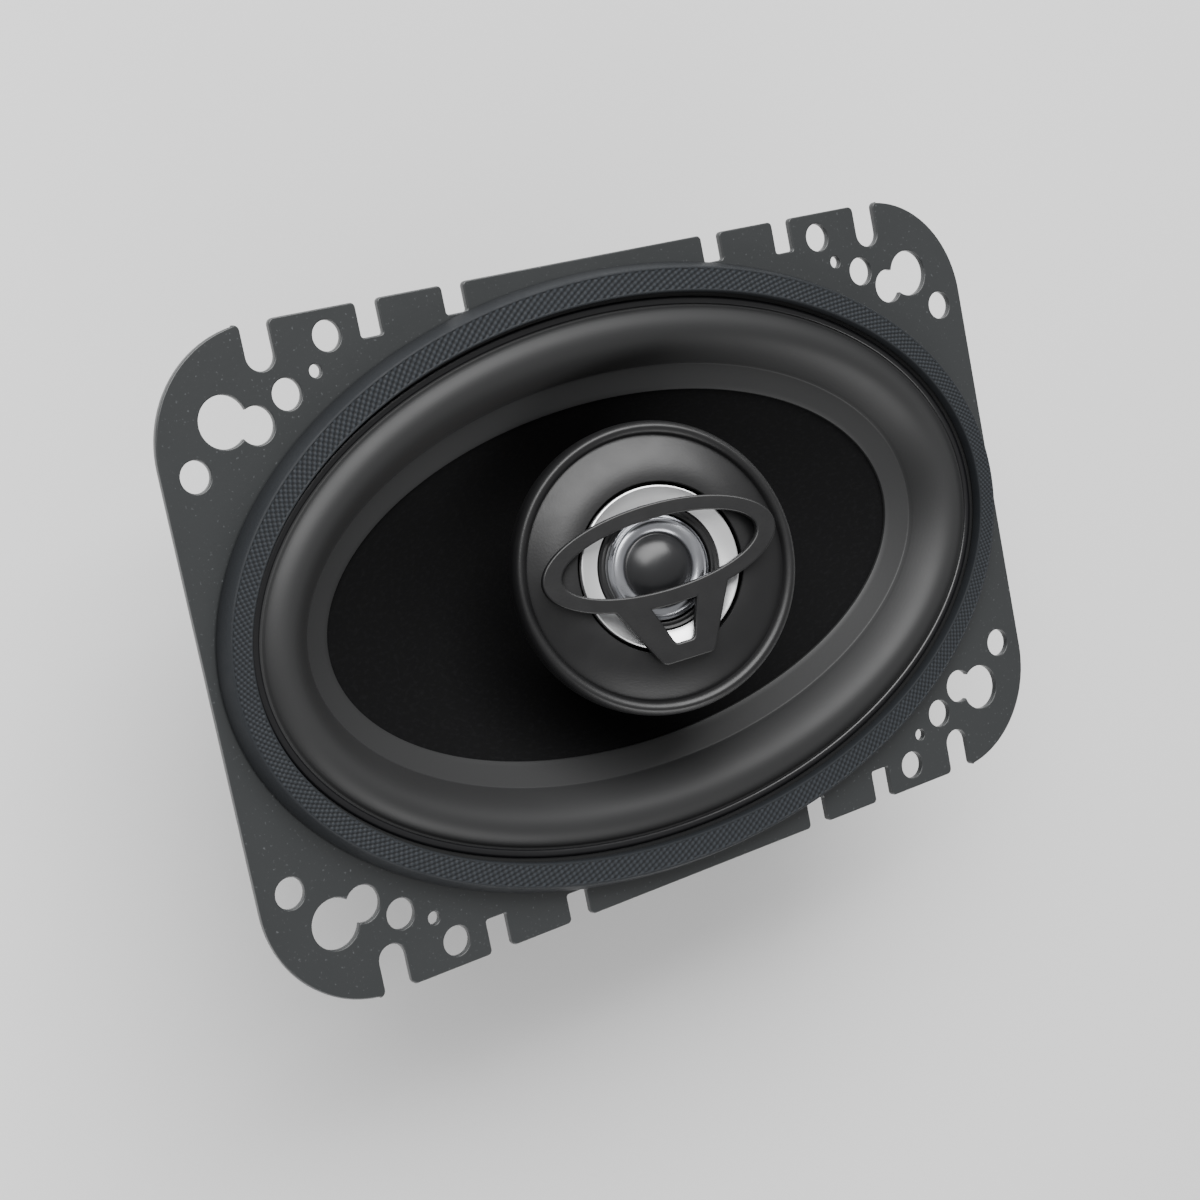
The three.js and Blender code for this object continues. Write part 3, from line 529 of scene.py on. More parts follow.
def copper():
    """Enamelled copper wire, wound or braided."""
    f = Finish("copper_wire", (0.62, 0.26, 0.12), 0.28, 1.0)
    turns = f.bands(3000, "Object", "Z")
    f.tint(turns, (0.35, 0.12, 0.05), 0.6)
    return f.bump(turns, 0.08, 0.7)


def phenolic():
    """Brown phenolic board with paper fibres."""
    f = Finish("phenolic_board", (0.16, 0.075, 0.03), 0.5)
    fibres = f.noise(160, 5, (1, 1, 9))
    f.tint(fibres, (0.26, 0.14, 0.07), 0.7)
    return f.bump(fibres, 0.03, 0.5)


def sleeve():
    """Shrink sleeve of the capacitor."""
    f = Finish("can_sleeve", (0.018, 0.03, 0.09), 0.3, Coat_Weight=0.3)
    f.tint(f.noise(180, 3), (0.03, 0.05, 0.13), 0.5)
    return f.bump(f.noise(700, 2), 0.03, 0.4)


def insulation(name, colour):
    """A maker for soft wire insulation of that colour."""

    def make():
        """Soft insulation with a faint grain."""
        f = Finish(name, colour, 0.45)
        f.tint(f.noise(300, 3), [c * 1.6 + 0.01 for c in colour], 0.4)
        return f.bump(f.noise(1800, 2), 0.02, 0.4)

    return make


def lacquer():
    """Gloss black bead of adhesive that seals the surround's outer edge."""
    f = Finish("adhesive_bead", (0.004, 0.004, 0.005), 0.3, Coat_Weight=0.2, Coat_Roughness=0.15)
    f.tint(f.noise(90, 3), (0.01, 0.01, 0.011), 0.5)
    f.rough(f.noise(50, 3), 0.22, 0.42)
    return f.bump(f.noise(110, 4), 0.3, 0.5)


FINISH_MAKERS = {
    "flange_paint": electrocoat,
    "gasket_rubber": moulded_rubber,
    "surround_rubber": butyl,
    "cone_pulp": pulp,
    "spider_cloth": woven,
    "former_film": amber_film,
    "copper_wire": copper,
    "zinc_plate": zinc,
    "ferrite": sintered,
    "pod_plastic": moulding,
    "flare_chrome": bright_plate,
    "foil_metal": foil,
    "dome_film": dome_film,
    "board_phenolic": phenolic,
    "wire_red": insulation("wire_red", (0.35, 0.02, 0.015)),
    "wire_black": insulation("wire_black", (0.012, 0.012, 0.013)),
    "can_sleeve": sleeve,
    "adhesive": lacquer,
}


def dress(piece, body, slot, *nodes, finish=None):
    """Gives a piece its finish, lets it ride on a body, and hides the CAD nodes that it stands for.

    A piece with None for its body rides on no body, and goes to flex afterwards.
    """
    piece.data.materials.clear()
    piece.data.materials.append(finish_of(finish or slot))
    if body:
        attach(piece, body)
    if nodes:
        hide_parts(*nodes)
    return piece


# ------------------------------------------------------------------ sizes and colours that a user sets
def length_property(name, description, default):
    """A length whose default is given in millimetres and kept in metres, as Blender's lengths are."""
    return bpy.props.FloatProperty(
        name=name, description=description, default=default * MM, min=1e-5, precision=5, unit="LENGTH"
    )


def in_millimetres(group):
    """Every length in a property group, in millimetres, by name."""
    return SimpleNamespace(**{key: getattr(group, key) / MM for key in group.__annotations__})


def colour_property(name, description, default):
    """A linear colour, with its words."""
    return bpy.props.FloatVectorProperty(
        name=name, description=description, default=default, size=3, subtype="COLOR", min=0, max=1
    )


class SpeakerSizes(bpy.types.PropertyGroup):
    """Sizes that the frame leaves open."""

    edge_rounding: length_property("Edge rounding", "Rounding of the flange's edges", 0.22)
    flange_corner: length_property("Flange corner", "Radius of the flange's corners", 19.0)
    knurl_pitch: length_property("Knurl pitch", "Spacing of the gasket's pattern", 0.74)
    knurl_height: length_property("Knurl height", "Height of the gasket's pattern", 0.16)
    roll_width: length_property("Roll width", "Width of the surround's half roll", 9.6)
    roll_rise: length_property("Roll rise", "Rise of the half roll over its edges", 3.6)
    inner_lip: length_property("Inner lip", "Width of the surround's lip on the cone", 4.4)
    outer_lip: length_property("Outer lip", "Width of the surround's lip on the flange", 4.3)
    rubber: length_property("Rubber", "Thickness of the surround", 0.6)
    guard_band: length_property("Guard band", "Width of the guard's band at its middle", 2.5)
    guard_end: length_property("Guard end", "Width of the guard's band at its ends", 3.4)


class SpeakerColours(bpy.types.PropertyGroup):
    """Main colours of the speaker."""

    flange: colour_property("Flange", "Electrocoat of the flange and basket", (0.024, 0.026, 0.027))
    gasket: colour_property("Gasket", "Rubber of the gasket", (0.007, 0.0082, 0.0098))
    surround: colour_property("Surround", "Rubber of the surround", (0.02, 0.0203, 0.0208))
    cone: colour_property("Cone", "Fibre of the cone", (0.0035, 0.0035, 0.0038))
    pod: colour_property("Pod", "Plastic of the tweeter pod", (0.0085, 0.0085, 0.009))


# ------------------------------------------------------------------ flange and basket
SHEET = 1.2
OPENING = (74.3, 45.1)
BASKET_BORE = 15.3
FLOOR_RADIUS = 26
SHELF_RADIUS = 33.6
SHELF_RISE = 3.2
SHOULDER = {"drop": 8, "inset": 5}
WINDOW = {"count": 12, "radius": 55.8, "length": 52, "width": 13, "above_shelf": 2.5, "below_face": 9}
BRACKET = {"y": -46.3, "width": 30, "height": 17, "drop": 8.4}
QUADRANTS = ((1, 1), (-1, 1), (-1, -1), (1, -1))
SCREW_HOLES = ((76.2, 32.58, 2.5), (58.7, 41.75, 2.5), (50.0, 49.25, 2.45), (53.17, 44.32, 1.05))
KEYHOLE = {"head": (69.9, 39.65, 4.1), "slot": (64.7, 38.1, 3.0)}
ROUND_NOTCH = {"x": 61.7, "radius": 2.45, "depth": 7.65}
SQUARE_NOTCHES = ((42.18, 1.98, 5.75), (26.32, 2.02, 4.8))


def arc(x, y, radius, start, end, count):
    """Points on a circle, from one angle in degrees to another."""
    t = np.radians(np.linspace(start, end, count))
    return np.stack([x + radius * np.cos(t), y + radius * np.sin(t)], axis=1)


def notch(x, half_width, depth, edge, mouth, bottom):
    """A notch cut down from the edge, from right to left, with round corners at its mouth and its bottom."""
    right, left, low = x + half_width, x - half_width, edge - depth
    return np.concatenate([
        arc(right + mouth, edge - mouth, mouth, 90, 180, 6),
        arc(right - bottom, low + bottom, bottom, 0, -90, 8),
        arc(left + bottom, low + bottom, bottom, 270, 180, 8),
        arc(left - mouth, edge - mouth, mouth, 0, 90, 6),
    ])


def flange_outline(length, width, corner):
    """One loop round the flange: its upper right quarter, mirrored to the left, then turned half round."""
    n = ROUND_NOTCH
    mouth = 1.0
    stop = math.degrees(math.acos((n["x"] + n["radius"] + mouth - length + corner) / corner))
    quarter = [arc(length - corner, width - corner, corner, 0, stop, 24)]
    quarter.append(notch(n["x"], n["radius"], n["depth"], width, mouth, n["radius"] - 0.01))
    for x, half_width, depth in SQUARE_NOTCHES:
        quarter.append(notch(x, half_width, depth, width, 0.8, 0.5))
    first = np.concatenate(quarter)
    second = first[::-1] * (-1, 1)
    upper = np.concatenate([first, second])
    return np.concatenate([upper, -upper])


def keyhole_outline(sx, sy):
    """Two overlapping circles as one loop: each keeps the arc that lies outside the other."""
    hx, hy, hr = KEYHOLE["head"]
    kx, ky, kr = KEYHOLE["slot"]
    apart = math.hypot(hx - kx, hy - ky)
    towards = math.degrees(math.atan2(ky - hy, kx - hx))
    head_open = math.degrees(math.acos((apart**2 + hr**2 - kr**2) / (2 * apart * hr)))
    slot_open = math.degrees(math.acos((apart**2 + kr**2 - hr**2) / (2 * apart * kr)))
    head = arc(hx, hy, hr, towards + head_open, towards + 360 - head_open, 40)
    slot = arc(kx, ky, kr, towards + 180 + slot_open, towards + 540 - slot_open, 28)
    return np.concatenate([head, slot]) * (sx, sy)


def flange_holes():
    """The loops of every hole in the flange, the oval opening first."""
    t = np.arange(192) / 192 * TURN
    loops = [np.stack([OPENING[0] * np.cos(t), OPENING[1] * np.sin(t)], axis=1)]
    for sx, sy in QUADRANTS:
        for x, y, radius in SCREW_HOLES:
            loops.append(arc(sx * x, sy * y, radius, 0, 360, 41)[:-1])
        loops.append(keyhole_outline(sx, sy))
    return loops


def bowl_section(back, shoulder, shelf, floor, under):
    """The basket's wall from the flange down to the floor and back up, as (length, width, z) corners."""
    length, width = OPENING
    inset, top = SHOULDER["inset"], back + 0.3
    outer = [
        (length + SHEET, width + SHEET, top),
        (length - inset + SHEET, width - inset + SHEET, shoulder - 0.4),
        *round_corners((SHELF_RADIUS + 0.8, shelf - SHEET), (FLOOR_RADIUS + SHEET + 0.4, shelf - SHEET)),
        *round_corners((FLOOR_RADIUS + SHEET, under), (BASKET_BORE, under)),
    ]
    inner = [
        *round_corners((BASKET_BORE, floor), (FLOOR_RADIUS, floor)),
        *round_corners((FLOOR_RADIUS + 0.6, shelf), (SHELF_RADIUS, shelf)),
        (length - inset, width - inset, shoulder),
        (length, width, top),
    ]
    return outer + inner


def round_corners(*corners):
    """(radius, z) corners as (length, width, z) ones, for the round part of an oval section."""
    return [(radius, radius, z) for radius, z in corners]


class SPEAKER_OT_basket(bpy.types.Operator):
    """Build the pressed steel flange and the windowed bowl behind it"""

    bl_idname = "speaker.basket"
    bl_label = "Basket"

    def execute(self, context):
        sizes = in_millimetres(context.scene.speaker_sizes)
        length, width, under, face = half("basket")
        back = face - SHEET
        outline = flange_outline(length, width, sizes.flange_corner)
        flange = plate("flange", outline, flange_holes(), back, face, sizes.edge_rounding)
        dress(flange, "frame", "flange_paint", "basket")
        floor = under + SHEET
        shelf = floor + SHELF_RISE
        corners = bowl_section(back, face - SHOULDER["drop"], shelf, floor, under)
        bowl = oval("basket_bowl", soften(corners, 1.6, 5), 224)
        bowl = cut_away(bowl, self.windows(shelf + WINDOW["above_shelf"], face - WINDOW["below_face"]))
        dress(bowl, "frame", "flange_paint")
        middle = (0, BRACKET["y"], back - BRACKET["drop"])
        bracket = block("board_bracket", middle, (BRACKET["width"], SHEET, BRACKET["height"]), 0.06)
        dress(bracket, "frame", "flange_paint")
        return {"FINISHED"}

    def windows(self, low, high):
        """Blocks with round corners, pointing outwards, that cut the bowl's windows."""
        cutters = []
        middle = (WINDOW["radius"], 0, (low + high) / 2)
        size = (WINDOW["length"], WINDOW["width"], high - low)
        for k in range(WINDOW["count"]):
            turn = Matrix.Rotation((k + 0.5) / WINDOW["count"] * TURN, 4, "Z")
            cutters.append(block(f"window_{k}", middle, size, 0.2, turn))
        return cutters


# ------------------------------------------------------------------ gasket, surround and cone
def knurl(angle, radius, across, pitch):
    """Height from 0 to 1 of crossed slanted rows: two cosine waves at right angles, added and clipped."""
    along = angle * radius
    steep, shallow = 0.85, 0.53
    first = np.cos(TURN * (steep * across + shallow * along) / pitch)
    second = np.cos(TURN * (shallow * across - steep * along) / (1.1 * pitch))
    return np.clip(0.35 + 0.6 * first + 0.45 * second, 0, 1)


class SPEAKER_OT_gasket(bpy.types.Operator):
    """Build the raised gasket ring with its knurled top"""

    bl_idname = "speaker.gasket"
    bl_label = "Gasket"

    def execute(self, context):
        sizes = in_millimetres(context.scene.speaker_sizes)
        base_length, base_width, low, high = half("gasket_ring")
        bevel, end_top, side_top, step, overhang = 1.2, 3.6, 4.2, 0.9, 2.2
        out_length, out_width = base_length - bevel, base_width - bevel
        in_length, in_width = out_length - end_top, out_width - side_top
        corners = [
            (in_length, in_width, low + step),
            (in_length, in_width, high),
            (out_length, out_width, high),
            (base_length, base_width, low),
            (in_length + overhang, in_width + overhang, low),
            (in_length + overhang, in_width + overhang, low + step),
        ]
        section = soften(corners, (0.2, 0.35, 0.35, 0.3, 0.1, 0.1), 3)
        level = high - 0.02
        # The section's level top gets 18 more points, so that the pattern can lower each on its own.
        top = [k for k in range(len(section)) if section[k, 2] > level]
        first, last = section[top[0]], section[top[-1]]
        t = np.linspace(0, 1, 20)[1:-1, None]
        section = np.concatenate([section[: top[0] + 1], first + t * (last - first), section[top[-1] :]])
        steps, mean_radius = 3000, 64.0
        points = around(section, steps)
        angle = np.arange(steps) / steps * TURN
        share = (section[:, 0] - in_length) / (out_length - in_length)
        on_top = (section[:, 2] > level) & (share > 0.1) & (share < 0.9)
        relief = knurl(angle[:, None], mean_radius, section[:, 0][None] - in_length, sizes.knurl_pitch)
        # Painted highlight and shade: off the knurl, the band near the top gets 0.3 and the lower sides get
        # 0. These values only make the rubber's colour lighter high up and darker low down.
        relief = np.where(on_top[None], relief, np.where(section[:, 2] > high - 0.4, 0.3, 0)[None])
        points[:, :, 2] += np.where(on_top[None], (relief - 1.0) * sizes.knurl_height, 0)
        ring = surface("gasket", points)
        # The relief is kept on the points for the rubber's painted highlight and shade.
        shade = ring.data.attributes.new("relief", "FLOAT", "POINT")
        shade.data.foreach_set("value", relief.astype(np.float32).ravel())
        dress(ring, "frame", "gasket_rubber", "gasket_ring")
        self.build_bead()
        return {"FINISHED"}

    def build_bead(self):
        """The bead of adhesive on the surround's outer lip: a flat ellipse carried round an oval."""
        length, width, height = 74.0, 44.6, FACE / MM + 0.95
        wide, tall, count = 0.7, 0.35, 12
        circle = [(math.cos(k / count * TURN), math.sin(k / count * TURN)) for k in range(count)]
        bead = [(length + wide * c, width + wide * c, height + tall * s) for c, s in circle]
        dress(oval("adhesive_bead", bead), "frame", "surround_rubber", finish="adhesive")


LIP_POINTS = 5
NECK_RADIUS = 13.45


def surround_line(sizes, count=26):
    """The top line of the surround, from its inner lip over the half roll to its outer lip.

    The roll is the straight line between its edges plus rise times a sine raised to 0.85.
    """
    lip_length, lip_width, low, _ = half("surround")
    skin = sizes.rubber
    outer = np.array([lip_length - sizes.outer_lip, lip_width - sizes.outer_lip, FACE / MM + 0.3 + skin])
    inner = outer - (sizes.roll_width, sizes.roll_width, 0)
    edge = inner - (sizes.inner_lip, sizes.inner_lip, 0)
    edge[2] = low + skin
    inner[2] = edge[2] + 1.6
    t = np.linspace(0, 1, count)
    roll = inner + t[:, None] * (outer - inner)
    roll[:, 2] += sizes.roll_rise * np.sin(math.pi * t) ** 0.85
    rim = outer + (sizes.outer_lip, sizes.outer_lip, 0)
    lip = edge + np.linspace(0, 0.92, LIP_POINTS)[:, None] * (inner - edge)
    return np.concatenate([lip, roll, rim[None]])


class SPEAKER_OT_woofer(bpy.types.Operator):
    """Build the surround, the cone, the spider and the voice coil"""

    bl_idname = "speaker.woofer"
    bl_label = "Woofer"

    def execute(self, context):
        sizes = in_millimetres(context.scene.speaker_sizes)
        self.build_surround(sizes)
        self.build_cone(sizes)
        self.build_spider()
        self.build_coil()
        return {"FINISHED"}

    def build_surround(self, sizes):
        """The half-roll ring between the frame and the cone."""
        top = surround_line(sizes)
        under = top[::-1] - (0, 0, sizes.rubber)
        section = soften(np.concatenate([top, under]), 0.15, 2)
        piece = dress(oval("surround_roll", section, 288), None, "surround_rubber", "surround")
        roll_start = top[LIP_POINTS]
        flex(piece, self.oval_share(piece, roll_start[0], roll_start[1], sizes.roll_width))

    def oval_share(self, piece, length, width, reach):
        """1 at and inside the roll's inner oval, 0 reach further out, for each point of the piece.

        How far a point lies outside the oval is found by halving the range it can be in, 40 times.
        """
        at = points_of(piece)
        x, y = at[:, 0] / MM, at[:, 1] / MM
        low, high = np.zeros(len(x)) - 60.0, np.zeros(len(x)) + 60.0
        for _ in range(40):
            middle = (low + high) / 2
            outside = (x / (length + middle)) ** 2 + (y / np.maximum(width + middle, 0.1)) ** 2 > 1
            outside |= width + middle <= 0.1
            low, high = np.where(outside, middle, low), np.where(outside, high, middle)
        return np.clip(1 - low / reach, 0, 1)

    def build_cone(self, sizes):
        """The cone: a straight slope from the oval lip down to the round neck, with a rolled neck."""
        length, width, low, high = half("cone")
        neck = NECK_RADIUS
        lip = sizes.inner_lip
        t = np.linspace(0, 1, 24)
        slope = np.stack([
            neck + 1 + t * (length - lip - neck - 1),
            neck + 1 + t * (width - lip - neck - 1),
            low + 2.4 + t * (high - 1.5 - low - 2.4),
        ], axis=1)
        top = np.concatenate([[(neck, neck, low + 1.3)], slope, [(length, width, high)]])
        thick = np.concatenate([[1.3, 1.4], np.full(len(top) - 2, 0.7)])
        under = (top - np.stack([0 * thick, 0 * thick, thick], axis=1))[::-1]
        dress(oval("cone_body", np.concatenate([top, under]), 256), "cone_assembly", "cone_pulp", "cone")

    def build_spider(self):
        """The ring under the cone, between the frame and the voice coil.

        Its corrugations are the upper halves of three sine waves.
        """
        outer, _, low, _ = half("spider")
        inner = NECK_RADIUS
        r = np.linspace(inner, outer, 90)
        share = np.clip((r - inner - 2) / (outer - 4 - inner - 2), 0, 1)
        top = low + 0.5 + 0.9 * np.maximum(0, np.sin(3 * TURN * share))
        section = np.concatenate([np.stack([r, top], axis=1), np.stack([r, top - 0.5], axis=1)[::-1]])
        piece = dress(turned("spider_cloth", section, 128), None, "spider_cloth", "spider")
        at = points_of(piece)
        radius = np.hypot(at[:, 0], at[:, 1]) / MM
        flex(piece, np.clip(1 - (radius - inner - 2) / (outer - 6 - inner), 0, 1))

    def build_coil(self):
        """The former and the winding on it."""
        for name, node, slot, wall in (
            ("coil_former", "voice_coil_former", "former_film", 0.3),
            ("coil_winding", "voice_coil_winding", "copper_wire", 0.6),
        ):
            outer, _, low, high = half(node)
            corners = [(outer - wall, low), (outer, low), (outer, high), (outer - wall, high)]
            dress(turned(name, corners, 128), "cone_assembly", slot, node)


def flex(piece, share):
    """Bakes the piece's placement into its points.

    The share, 0 for the still body and 1 for the moving one, is not used.
    """
    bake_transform(piece)


# ------------------------------------------------------------------ tweeter pod
def ball_arc(radius, start, end, count, middle=0.0):
    """(radius, z) points on a circle round the ball's middle, between two angles in degrees from +Z."""
    t = np.radians(np.linspace(start, end, count))
    return np.stack([radius * np.sin(t), middle + radius * np.cos(t)], axis=1)


class SPEAKER_OT_pod(bpy.types.Operator):
    """Build the pod's shell, its flared face and the guard in front of the dome"""

    bl_idname = "speaker.pod"
    bl_label = "Tweeter pod"

    def execute(self, context):
        sizes = in_millimetres(context.scene.speaker_sizes)
        self.build_cup()
        self.build_face()
        self.build_guard(sizes)
        return {"FINISHED"}

    def build_cup(self):
        """The rear shell, with the socket that grips the ball."""
        wide, _, high = pod_extent("tweeter_cup")
        wall, floor = 1.4, 6.9
        inside = wide - wall
        socket = ball_arc(6.7, 125, 42, 14)
        outside = ball_arc(8.1, 95, 125, 8)
        corners = [
            (socket[-1][0], floor), (wide - 2.9, floor), (inside, 7.9), (inside, high),
            (wide, high), (wide - 0.2, floor), (wide - 5.4, 4.2), (9.3, 2.4),
        ]
        section = np.concatenate([socket, soften(corners, 0.8, 4, closed=False), outside])
        dress(turned("pod_shell", section, 144, POD), "pod", "pod_plastic", "tweeter_cup")

    def build_face(self):
        """The face: a round bead at the rim, a narrow valley, and a crown that rises as a quarter sine."""
        wide, _, _ = pod_extent("pod_bezel")
        rim, hole, crown = 11.8, 14.35, 13.3
        valley, valley_z = wide - 2.4, rim - 1.1
        t = np.linspace(0, 1, 22)[:, None]
        rise = np.sin(t * math.pi / 2)
        crest = np.concatenate([valley + t * (hole - valley), valley_z + rise * (crown - valley_z)], axis=1)
        bead = soften([
            (wide - 0.05, rim - 4.2), (wide, rim - 1.2), (wide - 0.9, rim + 0.05),
            (wide - 2.0, rim - 0.35), (valley, valley_z),
        ], 0.75, 6, closed=False)
        lip = [(hole - 0.12, crown - 0.12), (hole - 0.15, crown - 0.6), (hole, crown - 1.2)]
        back = crest[::-2] - (0, 1.2)
        inside = [(wide - 1.2, rim - 2.1), (wide - 0.9, rim - 2.1), (wide - 0.9, rim - 4.2)]
        section = np.concatenate([bead, crest[1:], lip, back[1:], inside])
        dress(turned("pod_face", section, 192, POD), "pod", "pod_plastic", "pod_bezel")

    def build_guard(self, sizes):
        """A flat oval band with two legs that run together at a foot: one sheet with an eye and a window."""
        length, width, offset, top, thick = 20.7, 8.4, 2.2, 15.1, 1.4
        leg_top, leg_foot, foot_y = (10.0, 4.0), (4.5, 1.6), -15.7
        reach = math.degrees(math.asin(leg_top[0] / length))
        outer = self.ellipse(length, width, offset, reach - 90, 270 - reach, 160)
        ends = (-leg_foot[0], foot_y), (leg_foot[0], foot_y)
        foot = soften([outer[-1], *ends, outer[0]], 0.9, 5, closed=False)
        outline = np.concatenate([outer, foot[1:-1]])
        eye = self.ellipse(length - sizes.guard_end, width - sizes.guard_band, offset, 0, 360, 129)[:-1]
        reach = math.degrees(math.asin(leg_top[1] / length))
        sill = foot_y + 3
        upper = self.ellipse(length, width + 0.2, offset, 270 - reach, 270 + reach, 14)
        ends = (leg_foot[1], sill), (-leg_foot[1], sill)
        lower = soften([upper[-1], *ends, upper[0]], 0.6, 4, closed=False)
        window = np.concatenate([upper, lower[1:-1]])
        sheet = plate("guard_band", outline, [eye, window], top - thick, top, 0.3, POD)
        dress(sheet, "pod", "pod_plastic", "guard_ring")
        for side in (-1, 1):
            middle = (side * 18.7, offset, top - thick - 0.3)
            pad = block(f"guard_pad_{(side + 3) // 2}", middle, (2.2, 3.2, 0.8), 0.25, POD)
            dress(pad, "pod", "pod_plastic")

    def ellipse(self, length, width, offset, start, end, count):
        """Points on an ellipse whose middle is offset in Y, from one angle in degrees to another."""
        t = np.radians(np.linspace(start, end, count))
        return np.stack([length * np.cos(t), offset + width * np.sin(t)], axis=1)


POT_WALL = 1.4


class SPEAKER_OT_tweeter(bpy.types.Operator):
    """Build the flare ring, the tweeter's frame, its dome, foil ring and motor"""

    bl_idname = "speaker.tweeter"
    bl_label = "Tweeter"

    def execute(self, context):
        wide, _, top = pod_extent("tweeter_flare")
        edge = top - 1.5
        self.build_flare(wide, top)
        self.build_frame(top, edge)
        self.build_diaphragm(edge)
        self.build_motor()
        return {"FINISHED"}

    def build_flare(self, wide, top):
        """The bright ring: its height grows as the way out to the power 1.4, up to a rolled edge."""
        bore, depth = 10.6, 1.3
        t = np.linspace(0, 1, 14)
        r = bore + t * (wide - 0.25 - bore)
        z = top - depth + depth * t**1.4
        front = np.stack([r, z], axis=1)
        rim = [(wide - 0.05, top - 0.1), (wide, top - 0.4), (wide, top - 1.5), (wide - 0.3, top - 1.7)]
        section = np.concatenate([front, rim, [(bore, top - 2.4)]])
        dress(turned("flare_ring", section, 192, POD), "pod", "flare_chrome", "tweeter_flare")

    def build_frame(self, top, edge):
        """The dark ring that carries the foil, stepped, with a skirt down to the pod's floor."""
        shelf, skirt, floor = top - 2.8, 13.0, 7.2
        corners = [
            (9.1, edge - 1), (9.1, edge), (9.5, edge + 0.06), (9.8, edge - 0.08), (10.3, top - 1.35),
            (10.3, shelf), (skirt, shelf), (skirt, floor), (9.3, floor), (9.3, edge - 1),
        ]
        ring = turned("tweeter_ring", soften(corners, 0.12, 3), 144, POD)
        dress(ring, "pod", "pod_plastic", "tweeter_frame")

    def build_diaphragm(self, edge):
        """The dome, a cap of a sphere with a seam round it, its foil ring and its coil."""
        radius, rise, skin = 5.4, 2.0, 0.4
        sphere = (radius**2 + rise**2) / (2 * rise)
        reach = math.degrees(math.asin(radius / sphere))
        middle = edge + rise - sphere
        cap = ball_arc(sphere, 0, reach, 28, middle)
        under = ball_arc(sphere - skin, reach, 0, 12, middle)
        cap[0, 0] = under[-1, 0] = 0
        lip = [(radius + 0.15, edge - 0.12), (radius + 0.65, edge - 0.14), (radius + 0.65, edge - 0.3)]
        section = np.concatenate([cap, lip, [(radius, edge - 0.4)], under])
        dome = turned("dome_cap", section, 144, POD, pole=True)
        dress(dome, "tweeter_diaphragm", "dome_film", "tweeter_dome")
        self.build_foil(edge)
        wide, low, high = pod_extent("tweeter_coil")
        coil = [(wide - 0.4, low), (wide, low), (wide, high), (wide - 0.4, high)]
        dress(turned("tweeter_winding", coil, 96, POD), "tweeter_diaphragm", "copper_wire", "tweeter_coil")

    def build_foil(self, edge):
        """The foil ring: a wide sine ridge and a narrow bell-shaped one, over the ring's width."""
        inner, outer, steps = 5.75, 8.7, 160
        r = np.linspace(inner, outer, 60)
        share = (r - inner) / (outer - inner)
        height = 0.75 * np.sin(math.pi * share**0.8) ** 0.9 + 0.22 * np.exp(-(((share - 0.78) / 0.07) ** 2))
        section = np.concatenate([
            np.stack([r, edge + height], axis=1),
            np.stack([r, edge + height - 0.1], axis=1)[::-1],
        ])
        ring = dress(turned("foil_ring", section, steps, POD), None, "foil_metal", "tweeter_surround")
        share_of_point = np.tile((outer - section[:, 0]) / (outer - inner), steps)
        flex(ring, share_of_point)

    def build_motor(self):
        """The small cup, magnet and pole behind the dome, each turned with softened edges."""
        for name, node, slot in (
            ("tweeter_slug", "tweeter_magnet", "foil_metal"),
            ("tweeter_pole_disc", "tweeter_pole", "zinc_plate"),
        ):
            wide, low, high = pod_extent(node)
            corners = soften([(0, low), (wide, low), (wide, high), (0, high)], 0.2, 3, closed=False)
            dress(turned(name, corners, 72, POD, pole=True), "pod", slot, node)
        wide, low, high = pod_extent("tweeter_pot")
        inside, floor = wide - POT_WALL, low + POT_WALL
        corners = [(0, low), (wide, low), (wide, high), (inside, high), (inside, floor), (0, floor)]
        pot = turned("tweeter_can", soften(corners, 0.3, 3, closed=False), 96, POD, pole=True)
        dress(pot, "pod", "zinc_plate", "tweeter_pot")


# ------------------------------------------------------------------ post and motor
MAGNET_BORE = 17
PLATE_BORE = 14.7
YOKE = {"bore": 4.6, "pole": 12.2, "plate": 5.0, "recess": 8.0, "recess_depth": 3.4}
LEAD_SLOT = {"half_width": 1.8, "depth": 1.8}
BALL_RADIUS = 5.2
LINER = {"inner": 5.5, "outer": 6.4}


